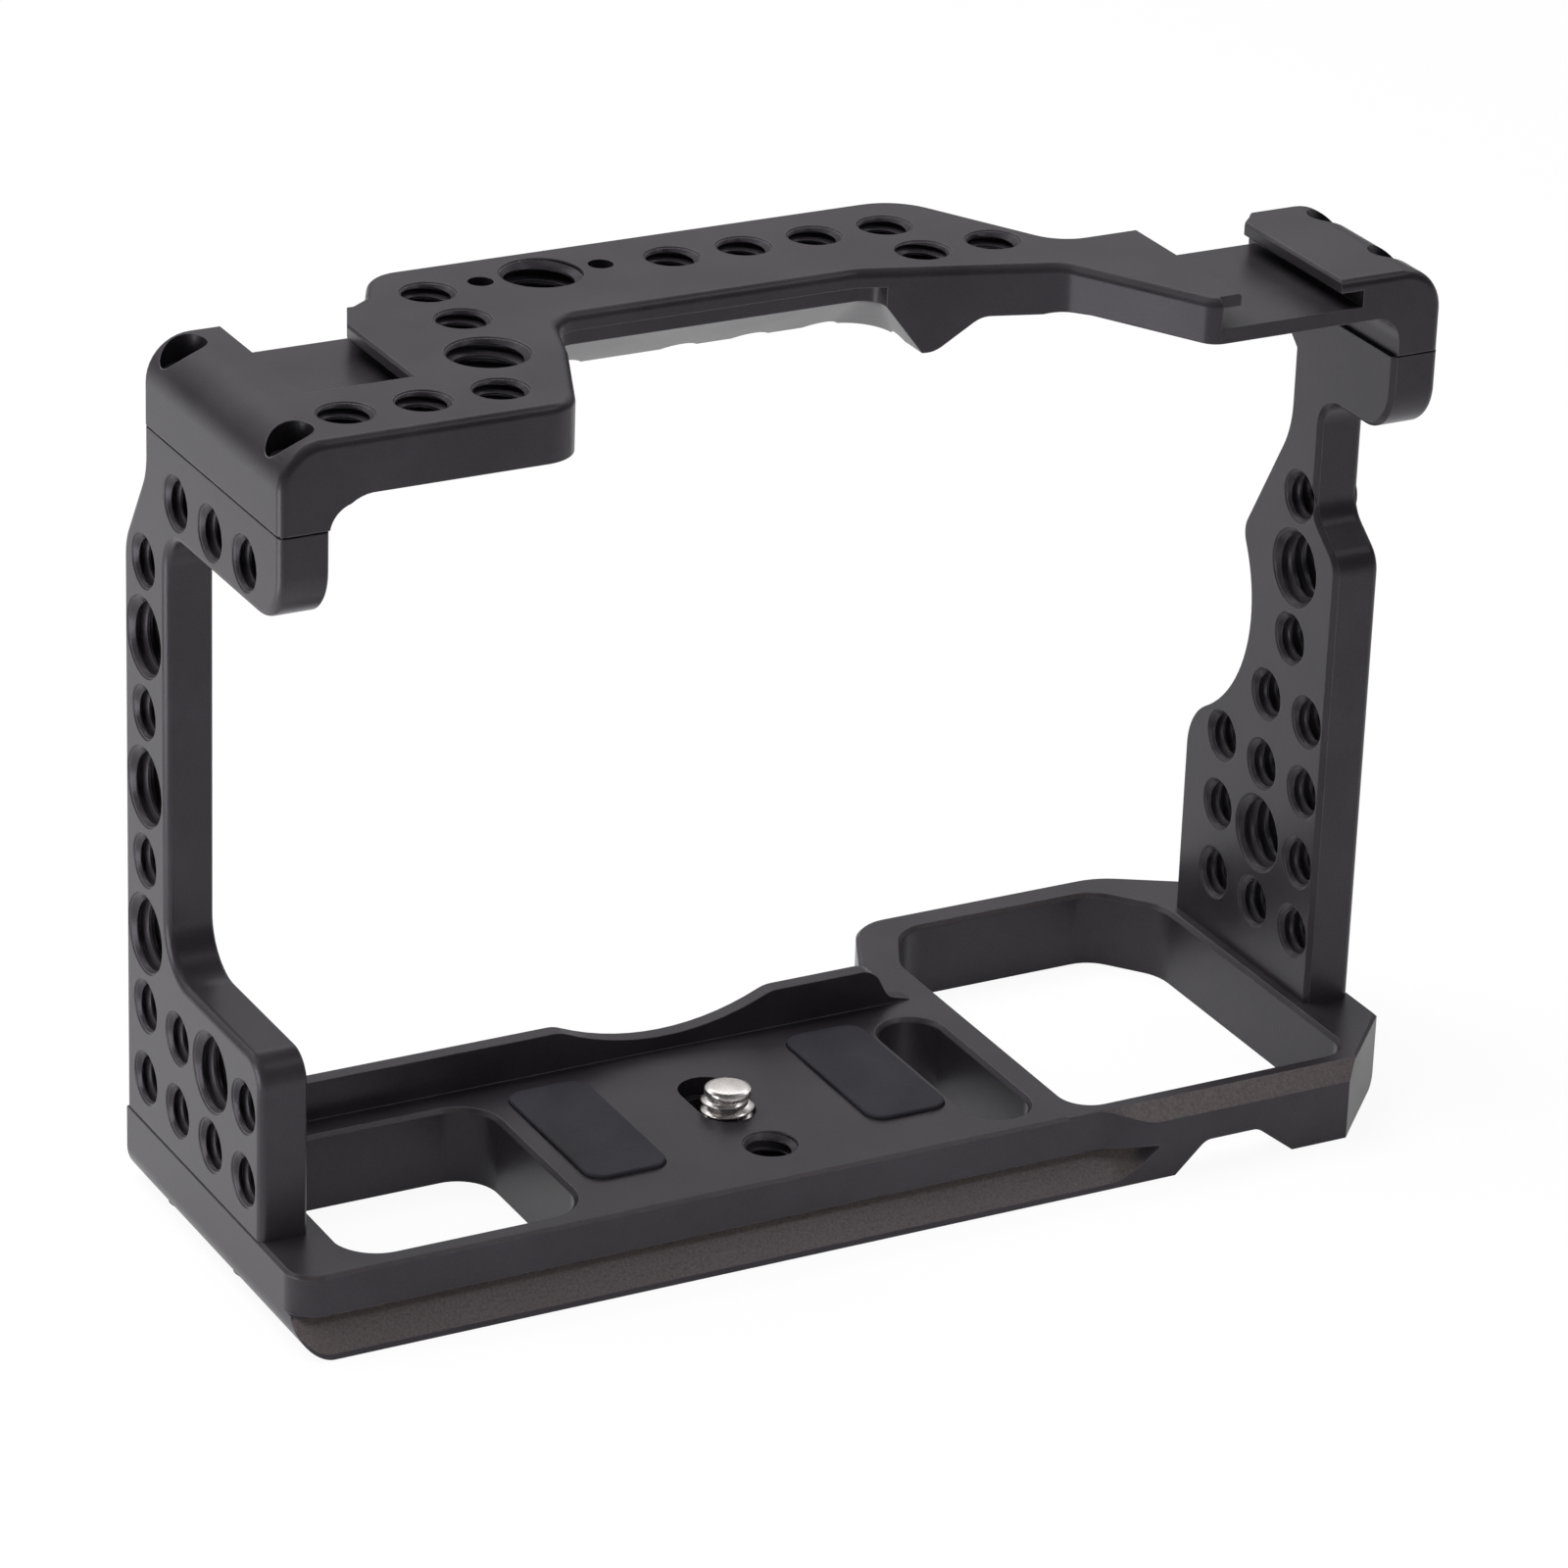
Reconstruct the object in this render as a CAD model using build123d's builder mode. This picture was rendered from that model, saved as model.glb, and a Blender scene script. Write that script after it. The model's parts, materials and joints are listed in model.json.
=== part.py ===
from build123d import *
import os

os.makedirs("parts", exist_ok=True)

# Every length is in mm. Inside the planes below, x runs from the left face, y from the rear edge
# of the base floor towards the lens side, and z from the base floor.
cage_width = 146.0
base_thick = 9.5
top_z = 96.6
seam_z = 86.2
rail_out = 2.0
ring_far_y = 56.5
centre_y = (ring_far_y - rail_out) / 2

# accessory threads, bored to their major diameter
quarter_r = 6.35 / 2
three_eight_r = 9.53 / 2
mouth = 0.15
locating_r = 3.0 / 2
pitch = 9.15

# side plates
left_thick = 5.8
rear_y = 5.2
right_outer = cage_width - 0.6
right_thick = 6.2
right_rear_y = 5.6
left_far_y = 42.2
right_far_y = 30.6
right_inner = right_outer - right_thick
foot_y = 10.0
foot_z = 22.2
post_y = 36.1
post_far_y = 48.0
post_top_y = 42.0
post_top_z = 80.8
post_slope_z = 70.6
arm_z = 75.5
arm_row_z = 80.1
grip_rear_y = 14.4
grip_rear_z = 57.3
grip_far_y = 44.6
shoulder_z = 26.5
waist_y = 26.5
waist_z = 37.25
bulge_y = 34.96
bulge_z = 54.35
collar_y = 25.9
collar_z = 70.4
collar_top_z = 80.5
flare_y = 30.4
flare_z = 84.6
lug_y = 20.0
lug_z = 61.6
hook_z = 76.2
edge_round = 1.0
end_round = 5.3
top_round = 1.1

# joint screws between the plates
joint_shank_r = 1.5
joint_head_r = 2.3
joint_head_h = 2.4
joint_seat_r = 2.6
thread_fit = 0.02
through_fit = 0.1
top_seat_z = 91.2
joint_grip = 3.6
base_grip = 3.4
base_seat_z = -6.3
left_screw_x = 3.3
right_screw_x = right_outer - 3.0

# cold shoes: slot for an 18.6 mm foot under two lips
shoe_slot = 18.7
shoe_gap = 12.7
lip_thick = 1.45
shoe_depth = 3.5
lip_slope = 0.3
seam_groove = 0.3
floor_short_left = 1.2
floor_short_right = 1.7
left_shoe_x = 15.5
right_shoe_x = cage_width - 20.8

# top plate
arm_x = 34.8
bar_rear_y = 30.0
bar_far_y = 50.5
bend_x = cage_width - 64.0
elbow_x = cage_width - 41.0
elbow_y = 22.9
shoe_side_x = cage_width - 31.2
far_notch_x = cage_width - 37.0
bar_end_x = cage_width - 47.8
middle_x = cage_width - 49.8
leg_x = right_inner + 0.6
arm_low_z = top_z - 6.6
bar_low_z = seam_z + 0.2
middle_low_z = top_z - 6.0
right_low_z = top_z - 5.3
pocket_x = 45.0
pocket_far_x = cage_width - 60.4
pocket_y = 32.0
pocket_roof_z = top_z - 2.1
pocket_step_z = top_z - 4.5

# base floor; the screw, the pads and the dip under the lens share the camera's centre line
screw_x = cage_width - 83.2
wall_in_y = 35.1
wall_out_y = 37.0
wall_h = 4.9
wall_end_x = cage_width - 54.8
dip_x = screw_x + 0.5
dip_half = 13.9
dip_z = 1.8
rail_width = 38.0
groove_top = -5.0
pad_pocket = 0.6
film_thick = 0.2
pad_thick = 0.9
pad_gap = 0.1

# base outline and windows; the right-hand end is placed from the cage's right end
ear_x = 10.0
ear_far_y = 47.9
wall_x = 21.0
cut_x = cage_width - 8.6
cut_y = 8.9
ring_x = cage_width - 45.8
ring_neck_x = ring_x - 9.4
far_cut_x = cage_width - 11.7
far_cut_y = ring_far_y - 6.7
left_window = {"x": 8.1, "far_x": screw_x - 25.5, "y": 2.7, "far_y": 31.4}
right_window = {"x": ring_x, "far_x": cage_width - 8.4, "y": 1.9, "far_y": ring_far_y - 3.9}
oval_x = cage_width - 53.95
oval_width = 7.9
oval_y = 6.85
oval_far_y = 26.9
rail_end_x = cage_width - 10.5
step_x = cage_width - 43.4
step_far_x = cage_width - 37.6
cutter_x = cage_width - 43.0
cutter_y = -6.5
arch_x = cage_width - 34.1
arch_far_x = cage_width - 18.0
arch_z = -5.7
under_x = 21.5
under_far_x = cage_width - 58.5

# captive camera screw
screw_y = 18.2
slot_travel = 5.4
screw_slot_w = 6.7
ledge_z = -2.4
neck_slot_w = 5.3
head_slot_w = 12.6
roof_z = -4.2
screw_r = 6.35 / 2
neck_r = 4.9 / 2
head_r = 12.2 / 2
washer_r = 12.4 / 2
neck_fit = 0.1
guide_thick = 0.6
thrust_thick = 0.4
head_thick = 2.2
screw_lift = 2.0
screw_top = 3.05
dog_r = 5.6 / 2
dog_h = 1.1
coin_slot = 1.8
coin_slot_deep = 1.3
thread_low = -2.3


def level(z):
    """Horizontal plane at a height above the base floor."""
    return Plane(origin=(-cage_width / 2, -centre_y, base_thick + z))


def from_below(z):
    """Horizontal plane looking down; the callers turn y over."""
    return Plane(origin=(-cage_width / 2, -centre_y, base_thick + z), x_dir=(1, 0, 0), z_dir=(0, 0, -1))


def upright(y):
    """Plane across the cage, x to the right and z up, facing the rear."""
    return Plane(origin=(-cage_width / 2, y - centre_y, base_thick), x_dir=(1, 0, 0), z_dir=(0, -1, 0))


def side_facing_left(x):
    """Plane along the cage facing left; the callers turn y over."""
    return Plane(origin=(x - cage_width / 2, -centre_y, base_thick), x_dir=(0, -1, 0), z_dir=(-1, 0, 0))


def side_facing_right(x):
    """Plane along the cage facing right, y forward and z up."""
    return Plane(origin=(x - cage_width / 2, -centre_y, base_thick), x_dir=(0, 1, 0), z_dir=(1, 0, 0))


def bore(face, points, radius, depth):
    """Cut round holes down from a face, without a mouth chamfer."""
    with Locations(face):
        with Locations(*points):
            Cylinder(radius, depth, align=(Align.CENTER, Align.CENTER, Align.MAX), mode=Mode.SUBTRACT)


def chamfer_mouths(face, points, radius):
    """Open the mouths of round holes on a face."""
    with Locations(face):
        with Locations(*points):
            Cone(radius, radius + mouth, mouth, align=(Align.CENTER, Align.CENTER, Align.MAX),
                 mode=Mode.SUBTRACT)


def tap(face, points, radius, depth):
    """Cut tapped holes with a chamfered mouth."""
    bore(face, points, radius, depth)
    chamfer_mouths(face, points, radius)


def corner(x, y):
    """The sketch vertex nearest to a point."""
    return vertices().sort_by_distance((x, y, 0))[0]


def round_corners(rounds):
    """Round sketch corners given as (x, y, radius)."""
    for x, y, radius in rounds:
        fillet(corner(x, y), radius)


def slot_area(width, y_from, y_to, x):
    """A slot with round ends along y in the current sketch."""
    with Locations((x, (y_from + y_to) / 2)):
        SlotCenterToCenter(y_to - y_from, width, rotation=90)


# base plate
left_base_screws = [(left_screw_x, 19.2), (left_screw_x, 37.7)]
right_base_screws = [(right_screw_x, 23.0), (right_screw_x, 41.3)]
left_top_screws = [(left_screw_x, 10.1), (left_screw_x, 38.4)]
right_top_screws = [(right_screw_x, 12.8), (right_screw_x, 26.0)]
pad_y = 19.8
pads = {"left": (screw_x - 17.4, pad_y), "right": (screw_x + 19.0, pad_y)}
pad_size = (10.3, 23.4)
pad_round = 2.3
rail_far = rail_width - rail_out
flank_z = -8.75

with BuildPart() as base_plate:
    # floor slab
    with BuildSketch(level(0)):
        with BuildLine():
            Polyline((0, 0), (cut_x, 0), (cage_width, cut_y), (cage_width, far_cut_y), (far_cut_x, ring_far_y),
                     (ring_x, ring_far_y), (ring_neck_x, wall_out_y), (wall_x, wall_out_y),
                     (ear_x, ear_far_y), (0, ear_far_y), close=True)
        make_face()
        round_corners([(0, 0, 3.6), (cage_width, far_cut_y, 5), (far_cut_x, ring_far_y, 10),
                       (ring_x, ring_far_y, 6), (ring_neck_x, wall_out_y, 3), (wall_x, wall_out_y, 4),
                       (ear_x, ear_far_y, 3)])
    extrude(amount=-base_thick)
    chamfer(edges().group_by(Axis.Z)[-1], 0.4)
    # rear rail below the groove
    with BuildSketch(level(groove_top)):
        with BuildLine():
            Polyline((0, -rail_out), (rail_end_x, -rail_out), (cut_x, 0), (cut_x, 4), (0, 4), close=True)
        make_face()
        round_corners([(0, -rail_out, 3.6)])
    extrude(amount=-(base_thick + groove_top))
    # thicker right-hand end, with its upper rear edge sloped
    with BuildSketch(level(0)):
        with BuildLine():
            Polyline((step_x - 4.6, 2), (step_x - 4.6, 0), (step_x, 0), (step_far_x, -rail_out),
                     (rail_end_x, -rail_out), (cut_x, 0), (cut_x, 2), close=True)
        make_face()
        round_corners([(step_x, 0, 8), (step_far_x, -rail_out, 8)])
    extrude(amount=-base_thick)
    with BuildSketch(side_facing_right(step_x - 5.6)):
        with BuildLine():
            Polyline((0.4, 0.4), (-rail_out - 1, 0.4), (-rail_out - 1, -rail_out - 1), close=True)
        make_face()
    extrude(amount=cut_x - step_x + 9.2, mode=Mode.SUBTRACT)
    # dovetail groove under the floor slab, with the cutter's run-out at its right end
    with BuildSketch(side_facing_right(-1)):
        with BuildLine():
            Polyline((-4, groove_top), (1.5, groove_top), (1.5, groove_top - 0.3), (-rail_out, flank_z),
                     (-4, flank_z), close=True)
        make_face()
    extrude(amount=cutter_x + 1, mode=Mode.SUBTRACT)
    with BuildSketch(side_facing_right(cutter_x)):
        with BuildLine():
            Polyline((cutter_y, groove_top), (1.5, groove_top), (1.5, groove_top - 0.3), (-rail_out, flank_z),
                     (cutter_y, flank_z), close=True)
        make_face()
    revolve(axis=Axis((cutter_x - cage_width / 2, cutter_y - centre_y, 0), (0, 0, 1)), mode=Mode.SUBTRACT)
    # far flank of the dovetail
    with BuildSketch(side_facing_right(under_x)):
        with BuildLine():
            Polyline((rail_far, -base_thick - 1), (rail_far, flank_z), (rail_far - 3.2, flank_z + 3.2),
                     (rail_far - 3.2, groove_top), (ring_far_y, groove_top),
                     (ring_far_y, -base_thick - 1), close=True)
        make_face()
    extrude(amount=under_far_x - under_x, mode=Mode.SUBTRACT)
    # rounded lower edges at the two ends
    with BuildSketch(upright(60)):
        for x, way in ((0, 1), (cage_width, -1)):
            r = 4.0 if way > 0 else 1.5
            with BuildLine():
                Polyline((x + way * r, -base_thick), (x + way * r, -base_thick - 1),
                         (x - way, -base_thick - 1), (x - way, r - base_thick), (x, r - base_thick))
                ThreePointArc((x, r - base_thick), (x + way * 0.2929 * r, 0.2929 * r - base_thick),
                              (x + way * r, -base_thick))
            make_face()
    extrude(amount=70, mode=Mode.SUBTRACT)
    # clearance arch under the rear of the right-hand end
    with BuildSketch(upright(4)):
        with BuildLine():
            Polyline((arch_x, -base_thick), (arch_x + 4, arch_z), (arch_far_x - 5, arch_z),
                     (arch_far_x, -base_thick), (arch_far_x, -base_thick - 1), (arch_x, -base_thick - 1),
                     close=True)
        make_face()
        round_corners([(arch_x + 4, arch_z, 2), (arch_far_x - 5, arch_z, 2)])
    extrude(amount=8, mode=Mode.SUBTRACT)
    # windows through the floor
    with BuildSketch(level(0)):
        x, far_x, y, far_y = left_window.values()
        with BuildLine():
            Polyline((x, y), (far_x, y), (far_x, far_y), (x, far_y), close=True)
        make_face()
        round_corners([(x, y, 5), (far_x, y, 5), (far_x, far_y, 5), (x, far_y, 5)])
        x, far_x, y, far_y = right_window.values()
        with BuildLine():
            Polyline((x, y), (far_x, y), (far_x, far_y - 7.4), (far_x - 6, far_y), (x + 4.4, far_y),
                     (x, far_y - 8.6), close=True)
        make_face()
        round_corners([(x, y, 3.5), (far_x, y, 3.5), (far_x, far_y - 7.4, 6), (far_x - 6, far_y, 5),
                       (x + 4.4, far_y, 5), (x, far_y - 8.6, 6)])
        slot_area(oval_width, oval_y, oval_far_y, oval_x)
    extrude(amount=-base_thick, mode=Mode.SUBTRACT)
    chamfer(edges(Select.LAST).group_by(Axis.Z)[-1], 0.5)
    # low wall against the lens side of the camera, dipped under the lens
    with BuildSketch(upright(wall_out_y)):
        with BuildLine():
            Polyline((dip_x - dip_half, wall_h), (left_thick, wall_h), (left_thick, -1),
                     (wall_end_x + 5, -1), (wall_end_x + 5, 0.1), (wall_end_x + 2, 0.9), (wall_end_x, wall_h),
                     (dip_x + dip_half, wall_h))
            ThreePointArc((dip_x + dip_half, wall_h), (dip_x, dip_z), (dip_x - dip_half, wall_h))
        make_face()
        round_corners([(wall_end_x, wall_h, 3), (wall_end_x + 2, 0.9, 2), (dip_x - dip_half, wall_h, 4), (dip_x + dip_half, wall_h, 4)])
    extrude(amount=wall_out_y - wall_in_y)
    # pockets for the pads
    with BuildSketch(level(0)):
        with Locations(*pads.values()):
            RectangleRounded(pad_size[0] + 2 * pad_gap, pad_size[1] + 2 * pad_gap, pad_round + pad_gap)
    extrude(amount=-pad_pocket, mode=Mode.SUBTRACT)
    # stepped slot for the camera screw and the tapped entry at its near end
    with BuildSketch(level(0)):
        slot_area(screw_slot_w, screw_y, screw_y + slot_travel, screw_x)
    extrude(amount=ledge_z, mode=Mode.SUBTRACT)
    with BuildSketch(level(0)):
        slot_area(neck_slot_w, screw_y, screw_y + slot_travel, screw_x)
    extrude(amount=-base_thick, mode=Mode.SUBTRACT)
    with BuildSketch(level(roof_z)):
        slot_area(head_slot_w, screw_y, screw_y + slot_travel, screw_x)
    extrude(amount=-base_thick, mode=Mode.SUBTRACT)
    bore(level(0), [(screw_x, screw_y)], quarter_r, base_thick)
    tap(level(0), [(screw_x + 0.5, 8.4)], quarter_r, base_thick)
    # joint screws from below
    bore(level(0), left_base_screws + right_base_screws, joint_shank_r + through_fit, base_thick)
    bore(from_below(-base_thick), [(x, -y) for x, y in left_base_screws + right_base_screws], joint_seat_r,
         base_thick + base_seat_z)
base_plate.part.label = "base_plate"
export_step(base_plate.part, "parts/base_plate.step")

# left side plate
between_seams = (base_thick + 0.01, base_thick + seam_z - 0.01)
left_cols = [14.6, 23.8, 33.1, 42.25]
left_rows = [5.8 + pitch * i for i in range(8)]
left_three_eight = [(left_cols[3], left_rows[i]) for i in (2, 4, 6)] + [(left_cols[1], left_rows[1])]
left_quarter = [(left_cols[3], left_rows[i]) for i in (0, 1, 3, 5, 7)]
left_quarter += [(left_cols[i], left_rows[0]) for i in (0, 1, 2)]
left_quarter += [(left_cols[i], left_rows[1]) for i in (0, 2)]
left_quarter += [(left_cols[i], arm_row_z) for i in (0, 1, 2)]

with BuildPart() as left_side_plate:
    with BuildSketch(side_facing_right(0)):
        with BuildLine():
            Polyline((foot_y, 0), (foot_y, foot_z), (post_y, foot_z), (post_y, arm_z), (rear_y, arm_z),
                     (rear_y, seam_z), (post_top_y, seam_z), (post_top_y, post_top_z),
                     (post_far_y, post_slope_z), (post_far_y, 0), close=True)
        make_face()
        round_corners([(foot_y, foot_z, 3.6), (post_y, foot_z, 6), (post_y, arm_z, 4.5), (rear_y, arm_z, 6.1),
                       (post_top_y, post_top_z, 7), (post_far_y, post_slope_z, 7)])
    extrude(amount=left_thick)
    outer = edges().group_by(Axis.X)[0].filter_by_position(Axis.Z, *between_seams)
    fillet(outer, edge_round)
    inner = edges().group_by(Axis.X)[-1].filter_by_position(Axis.Z, *between_seams)
    chamfer(inner, 0.3)
    for holes, radius in ((left_quarter, quarter_r), (left_three_eight, three_eight_r)):
        tap(side_facing_left(0), [(-y, z) for y, z in holes], radius, left_thick)
        chamfer_mouths(side_facing_right(left_thick), holes, radius)
    bore(from_below(0), [(x, -y) for x, y in left_base_screws], joint_shank_r + thread_fit, base_grip + 0.6)
    bore(level(seam_z), left_top_screws, joint_shank_r + thread_fit, joint_grip + 0.6)
left_side_plate.part.label = "left_side_plate"
export_step(left_side_plate.part, "parts/left_side_plate.step")

# right side plate
right_cols = [18.45, 27.6, 36.75]
right_rows = [8.1 + pitch * i for i in range(4)]
neck_y = 23.3
right_three_eight = [(right_cols[1], right_rows[1]), (neck_y, 53.6)]
right_quarter = [(y, right_rows[0]) for y in right_cols] + [(right_cols[0], right_rows[1])]
right_quarter += [(right_cols[2], right_rows[1])] + [(y, right_rows[2]) for y in right_cols]
right_quarter += [(y, right_rows[3]) for y in right_cols[:2]] + [(neck_y, 44.5), (neck_y, 62.7)]

with BuildPart() as right_side_plate:
    with BuildSketch(side_facing_right(right_inner)):
        with BuildLine():
            Polyline((grip_rear_y, 0), (grip_far_y, 0), (grip_far_y, shoulder_z), (waist_y, waist_z),
                     (bulge_y, bulge_z), (collar_y, collar_z), (collar_y, collar_top_z), (flare_y, flare_z),
                     (flare_y, seam_z), (right_rear_y, seam_z), (right_rear_y, hook_z), (lug_y, hook_z),
                     (lug_y, lug_z), (grip_rear_y, grip_rear_z), close=True)
        make_face()
        round_corners([(grip_far_y, shoulder_z, 7.5), (waist_y, waist_z, 18), (bulge_y, bulge_z, 3),
                       (collar_y, collar_z, 12), (right_rear_y, hook_z, 5.6), (lug_y, hook_z, 3.6),
                       (lug_y, lug_z, 4), (grip_rear_y, grip_rear_z, 4)])
    extrude(amount=right_thick)
    outer = edges().group_by(Axis.X)[-1].filter_by_position(Axis.Z, *between_seams)
    fillet(outer, edge_round)
    inner = edges().group_by(Axis.X)[0].filter_by_position(Axis.Z, *between_seams)
    chamfer(inner.filter_by_position(Axis.Y, -centre_y, lug_y + 1 - centre_y), 0.6)
    for holes, radius in ((right_quarter, quarter_r), (right_three_eight, three_eight_r)):
        tap(side_facing_left(right_inner), [(-y, z) for y, z in holes], radius, right_thick)
        chamfer_mouths(side_facing_right(right_outer), holes, radius)
    bore(from_below(0), [(x, -y) for x, y in right_base_screws], joint_shank_r + thread_fit, base_grip + 0.6)
    bore(level(seam_z), right_top_screws, joint_shank_r + thread_fit, joint_grip + 0.6)
right_side_plate.part.label = "right_side_plate"
export_step(right_side_plate.part, "parts/right_side_plate.step")

# top plate
bar_y = bar_far_y - 8.1
row_y = bar_y - 9.1
row_x = 10.7
bar_row_x = 65.0
pinned_x = 48.9
bar_holes = int((bar_end_x - bar_row_x - 5.7) / pitch) + 1
top_quarter = [(row_x + pitch * i, rear_y + 7) for i in range(3)] + [(arm_x - 0.3, bar_y), (arm_x - 0.3, row_y)]
top_quarter += [(bar_row_x + pitch * i, bar_y) for i in range(bar_holes)]
top_quarter += [(bar_row_x + pitch * i, row_y) for i in (bar_holes - 1, bar_holes)]
top_three_eight = [(arm_x - 2.3, rear_y + 17.5), (pinned_x, bar_y + 0.8)]
locating = [(pinned_x - 7.5, bar_y + 0.8), (pinned_x + 7.5, bar_y + 0.8)]

with BuildPart() as top_plate:
    with BuildSketch(level(seam_z)):
        with BuildLine():
            Polyline((0, rear_y), (arm_x, rear_y), (arm_x + 6.4, rear_y + 15.3), (arm_x + 9.4, bar_rear_y),
                     (bend_x, bar_rear_y), (elbow_x, elbow_y), (shoe_side_x, right_rear_y),
                     (right_outer, right_rear_y), (right_outer, right_far_y), (far_notch_x, right_far_y),
                     (bar_end_x, bar_far_y), (arm_x - 4, bar_far_y), (arm_x - 7.4, bar_far_y - 6.6),
                     (arm_x - 9.9, left_far_y), (0, left_far_y), close=True)
        make_face()
        round_corners([(arm_x, rear_y, 5), (arm_x + 6.4, rear_y + 15.3, 6), (arm_x + 9.4, bar_rear_y, 4),
                       (bend_x, bar_rear_y, 6), (elbow_x, elbow_y, 4), (shoe_side_x, right_rear_y, 2.5),
                       (far_notch_x, right_far_y, 5), (bar_end_x, bar_far_y, 8), (arm_x - 4, bar_far_y, 5),
                       (arm_x - 7.4, bar_far_y - 6.6, 2)])
    extrude(amount=top_z - seam_z)
    # stepped underside with the two legs
    with BuildSketch(upright(60)):
        with BuildLine():
            Polyline((right_inner, seam_z - 1), (left_thick, seam_z - 1), (left_thick, seam_z))
            ThreePointArc((left_thick, seam_z), (left_thick + 0.7, seam_z + 1.7),
                          (left_thick + 2.5, seam_z + 2.9))
            ThreePointArc((left_thick + 2.5, seam_z + 2.9), (left_thick + 3.6, seam_z + 3.5),
                          (left_thick + 5, arm_low_z))
            Polyline((left_thick + 5, arm_low_z), (arm_x + 0.2, arm_low_z), (arm_x + 4.2, bar_low_z),
                     (middle_x - 5.2, bar_low_z), (middle_x, middle_low_z), (middle_x + 6.8, middle_low_z),
                     (middle_x + 10.8, right_low_z), (leg_x - 3.4, right_low_z))
            ThreePointArc((leg_x - 3.4, right_low_z), (leg_x - 1, right_low_z - 1), (leg_x, right_low_z - 3.4))
            Polyline((leg_x, right_low_z - 3.4), (leg_x, seam_z - 1), (right_inner, seam_z - 1))
        make_face()
        round_corners([(middle_x - 5.2, bar_low_z, 3), (middle_x, middle_low_z, 3)])
    extrude(amount=70, mode=Mode.SUBTRACT)
    # the arm's rear corner keeps the thickness of the arm
    with BuildSketch(level(seam_z)):
        with Locations((arm_x + 4, rear_y + 5)):
            Rectangle(10, 12)
    extrude(amount=arm_low_z - seam_z, mode=Mode.SUBTRACT)
    # rounded ends, then the rounded upper rear edges
    ends = edges().filter_by(Axis.Y).group_by(Axis.Z)[-1]
    fillet([ends.sort_by(Axis.X)[0], ends.sort_by(Axis.X)[-1]], end_round)
    top_edges = faces().sort_by(Axis.Z)[-1].outer_wire().edges()
    along_ends = top_edges.filter_by(Axis.Y)
    rear = [edge for edge in top_edges if edge not in along_ends]
    fillet(rear, top_round)
    # pocket over the viewfinder, open to the rear
    with BuildSketch(level(bar_low_z - 0.4)):
        with BuildLine():
            x, far_x, far_y = pocket_x - 5.5, pocket_far_x + 4.4, pocket_y + 8.8
            Polyline((x, elbow_y - 4.9), (far_x, elbow_y - 4.9), (far_x, far_y), (x, far_y), close=True)
        make_face()
        round_corners([(far_x, far_y, 6), (x, far_y, 6)])
    with BuildSketch(level(pocket_step_z)):
        with BuildLine():
            Polyline((pocket_x, elbow_y - 4.9), (pocket_far_x, elbow_y - 4.9), (pocket_far_x, pocket_y),
                     (pocket_x, pocket_y), close=True)
        make_face()
        round_corners([(pocket_far_x, pocket_y, 2.5), (pocket_x, pocket_y, 2.5)])
    loft(ruled=True, mode=Mode.SUBTRACT)
    with BuildSketch(level(pocket_step_z - 0.1)):
        with BuildLine():
            Polyline((pocket_x, elbow_y - 4.9), (pocket_far_x, elbow_y - 4.9), (pocket_far_x, pocket_y),
                     (pocket_x, pocket_y), close=True)
        make_face()
        round_corners([(pocket_far_x, pocket_y, 2.5), (pocket_x, pocket_y, 2.5)])
    extrude(amount=pocket_roof_z - pocket_step_z + 0.1, mode=Mode.SUBTRACT)
    # cold shoes: left one open to the lens side, right one open at both ends
    for x, y_from, y_to in ((left_shoe_x, 19.1, left_far_y + 1), (right_shoe_x, right_rear_y - 5.6, right_far_y + 1)):
        with BuildSketch(level(top_z - shoe_depth)):
            with Locations((x, (y_from + y_to) / 2)):
                Rectangle(shoe_slot, y_to - y_from)
        extrude(amount=shoe_depth - lip_thick, mode=Mode.SUBTRACT)
        with BuildSketch(level(top_z - shoe_depth)):
            with Locations((x, (y_from + y_to) / 2)):
                Rectangle(shoe_gap, y_to - y_from)
        extrude(amount=shoe_depth, mode=Mode.SUBTRACT)
        left = x - shoe_gap / 2
        right = x + shoe_gap / 2
        with BuildSketch(upright(y_to)):
            with BuildLine():
                Polyline((left, top_z - lip_slope), (left - lip_slope, top_z), (left - lip_slope, top_z + 1),
                         (right + lip_slope, top_z + 1), (right + lip_slope, top_z), (right, top_z - lip_slope),
                         close=True)
            make_face()
        extrude(amount=y_to - y_from, mode=Mode.SUBTRACT)
    # the shoe floors stop short of the lips
    with BuildSketch(level(seam_z)):
        with Locations((left_shoe_x, left_far_y)):
            Rectangle(shoe_slot, 2 * floor_short_left)
        with Locations((right_shoe_x, right_far_y)):
            Rectangle(shoe_slot, 2 * floor_short_right)
    extrude(amount=top_z - lip_thick - seam_z, mode=Mode.SUBTRACT)
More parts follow.
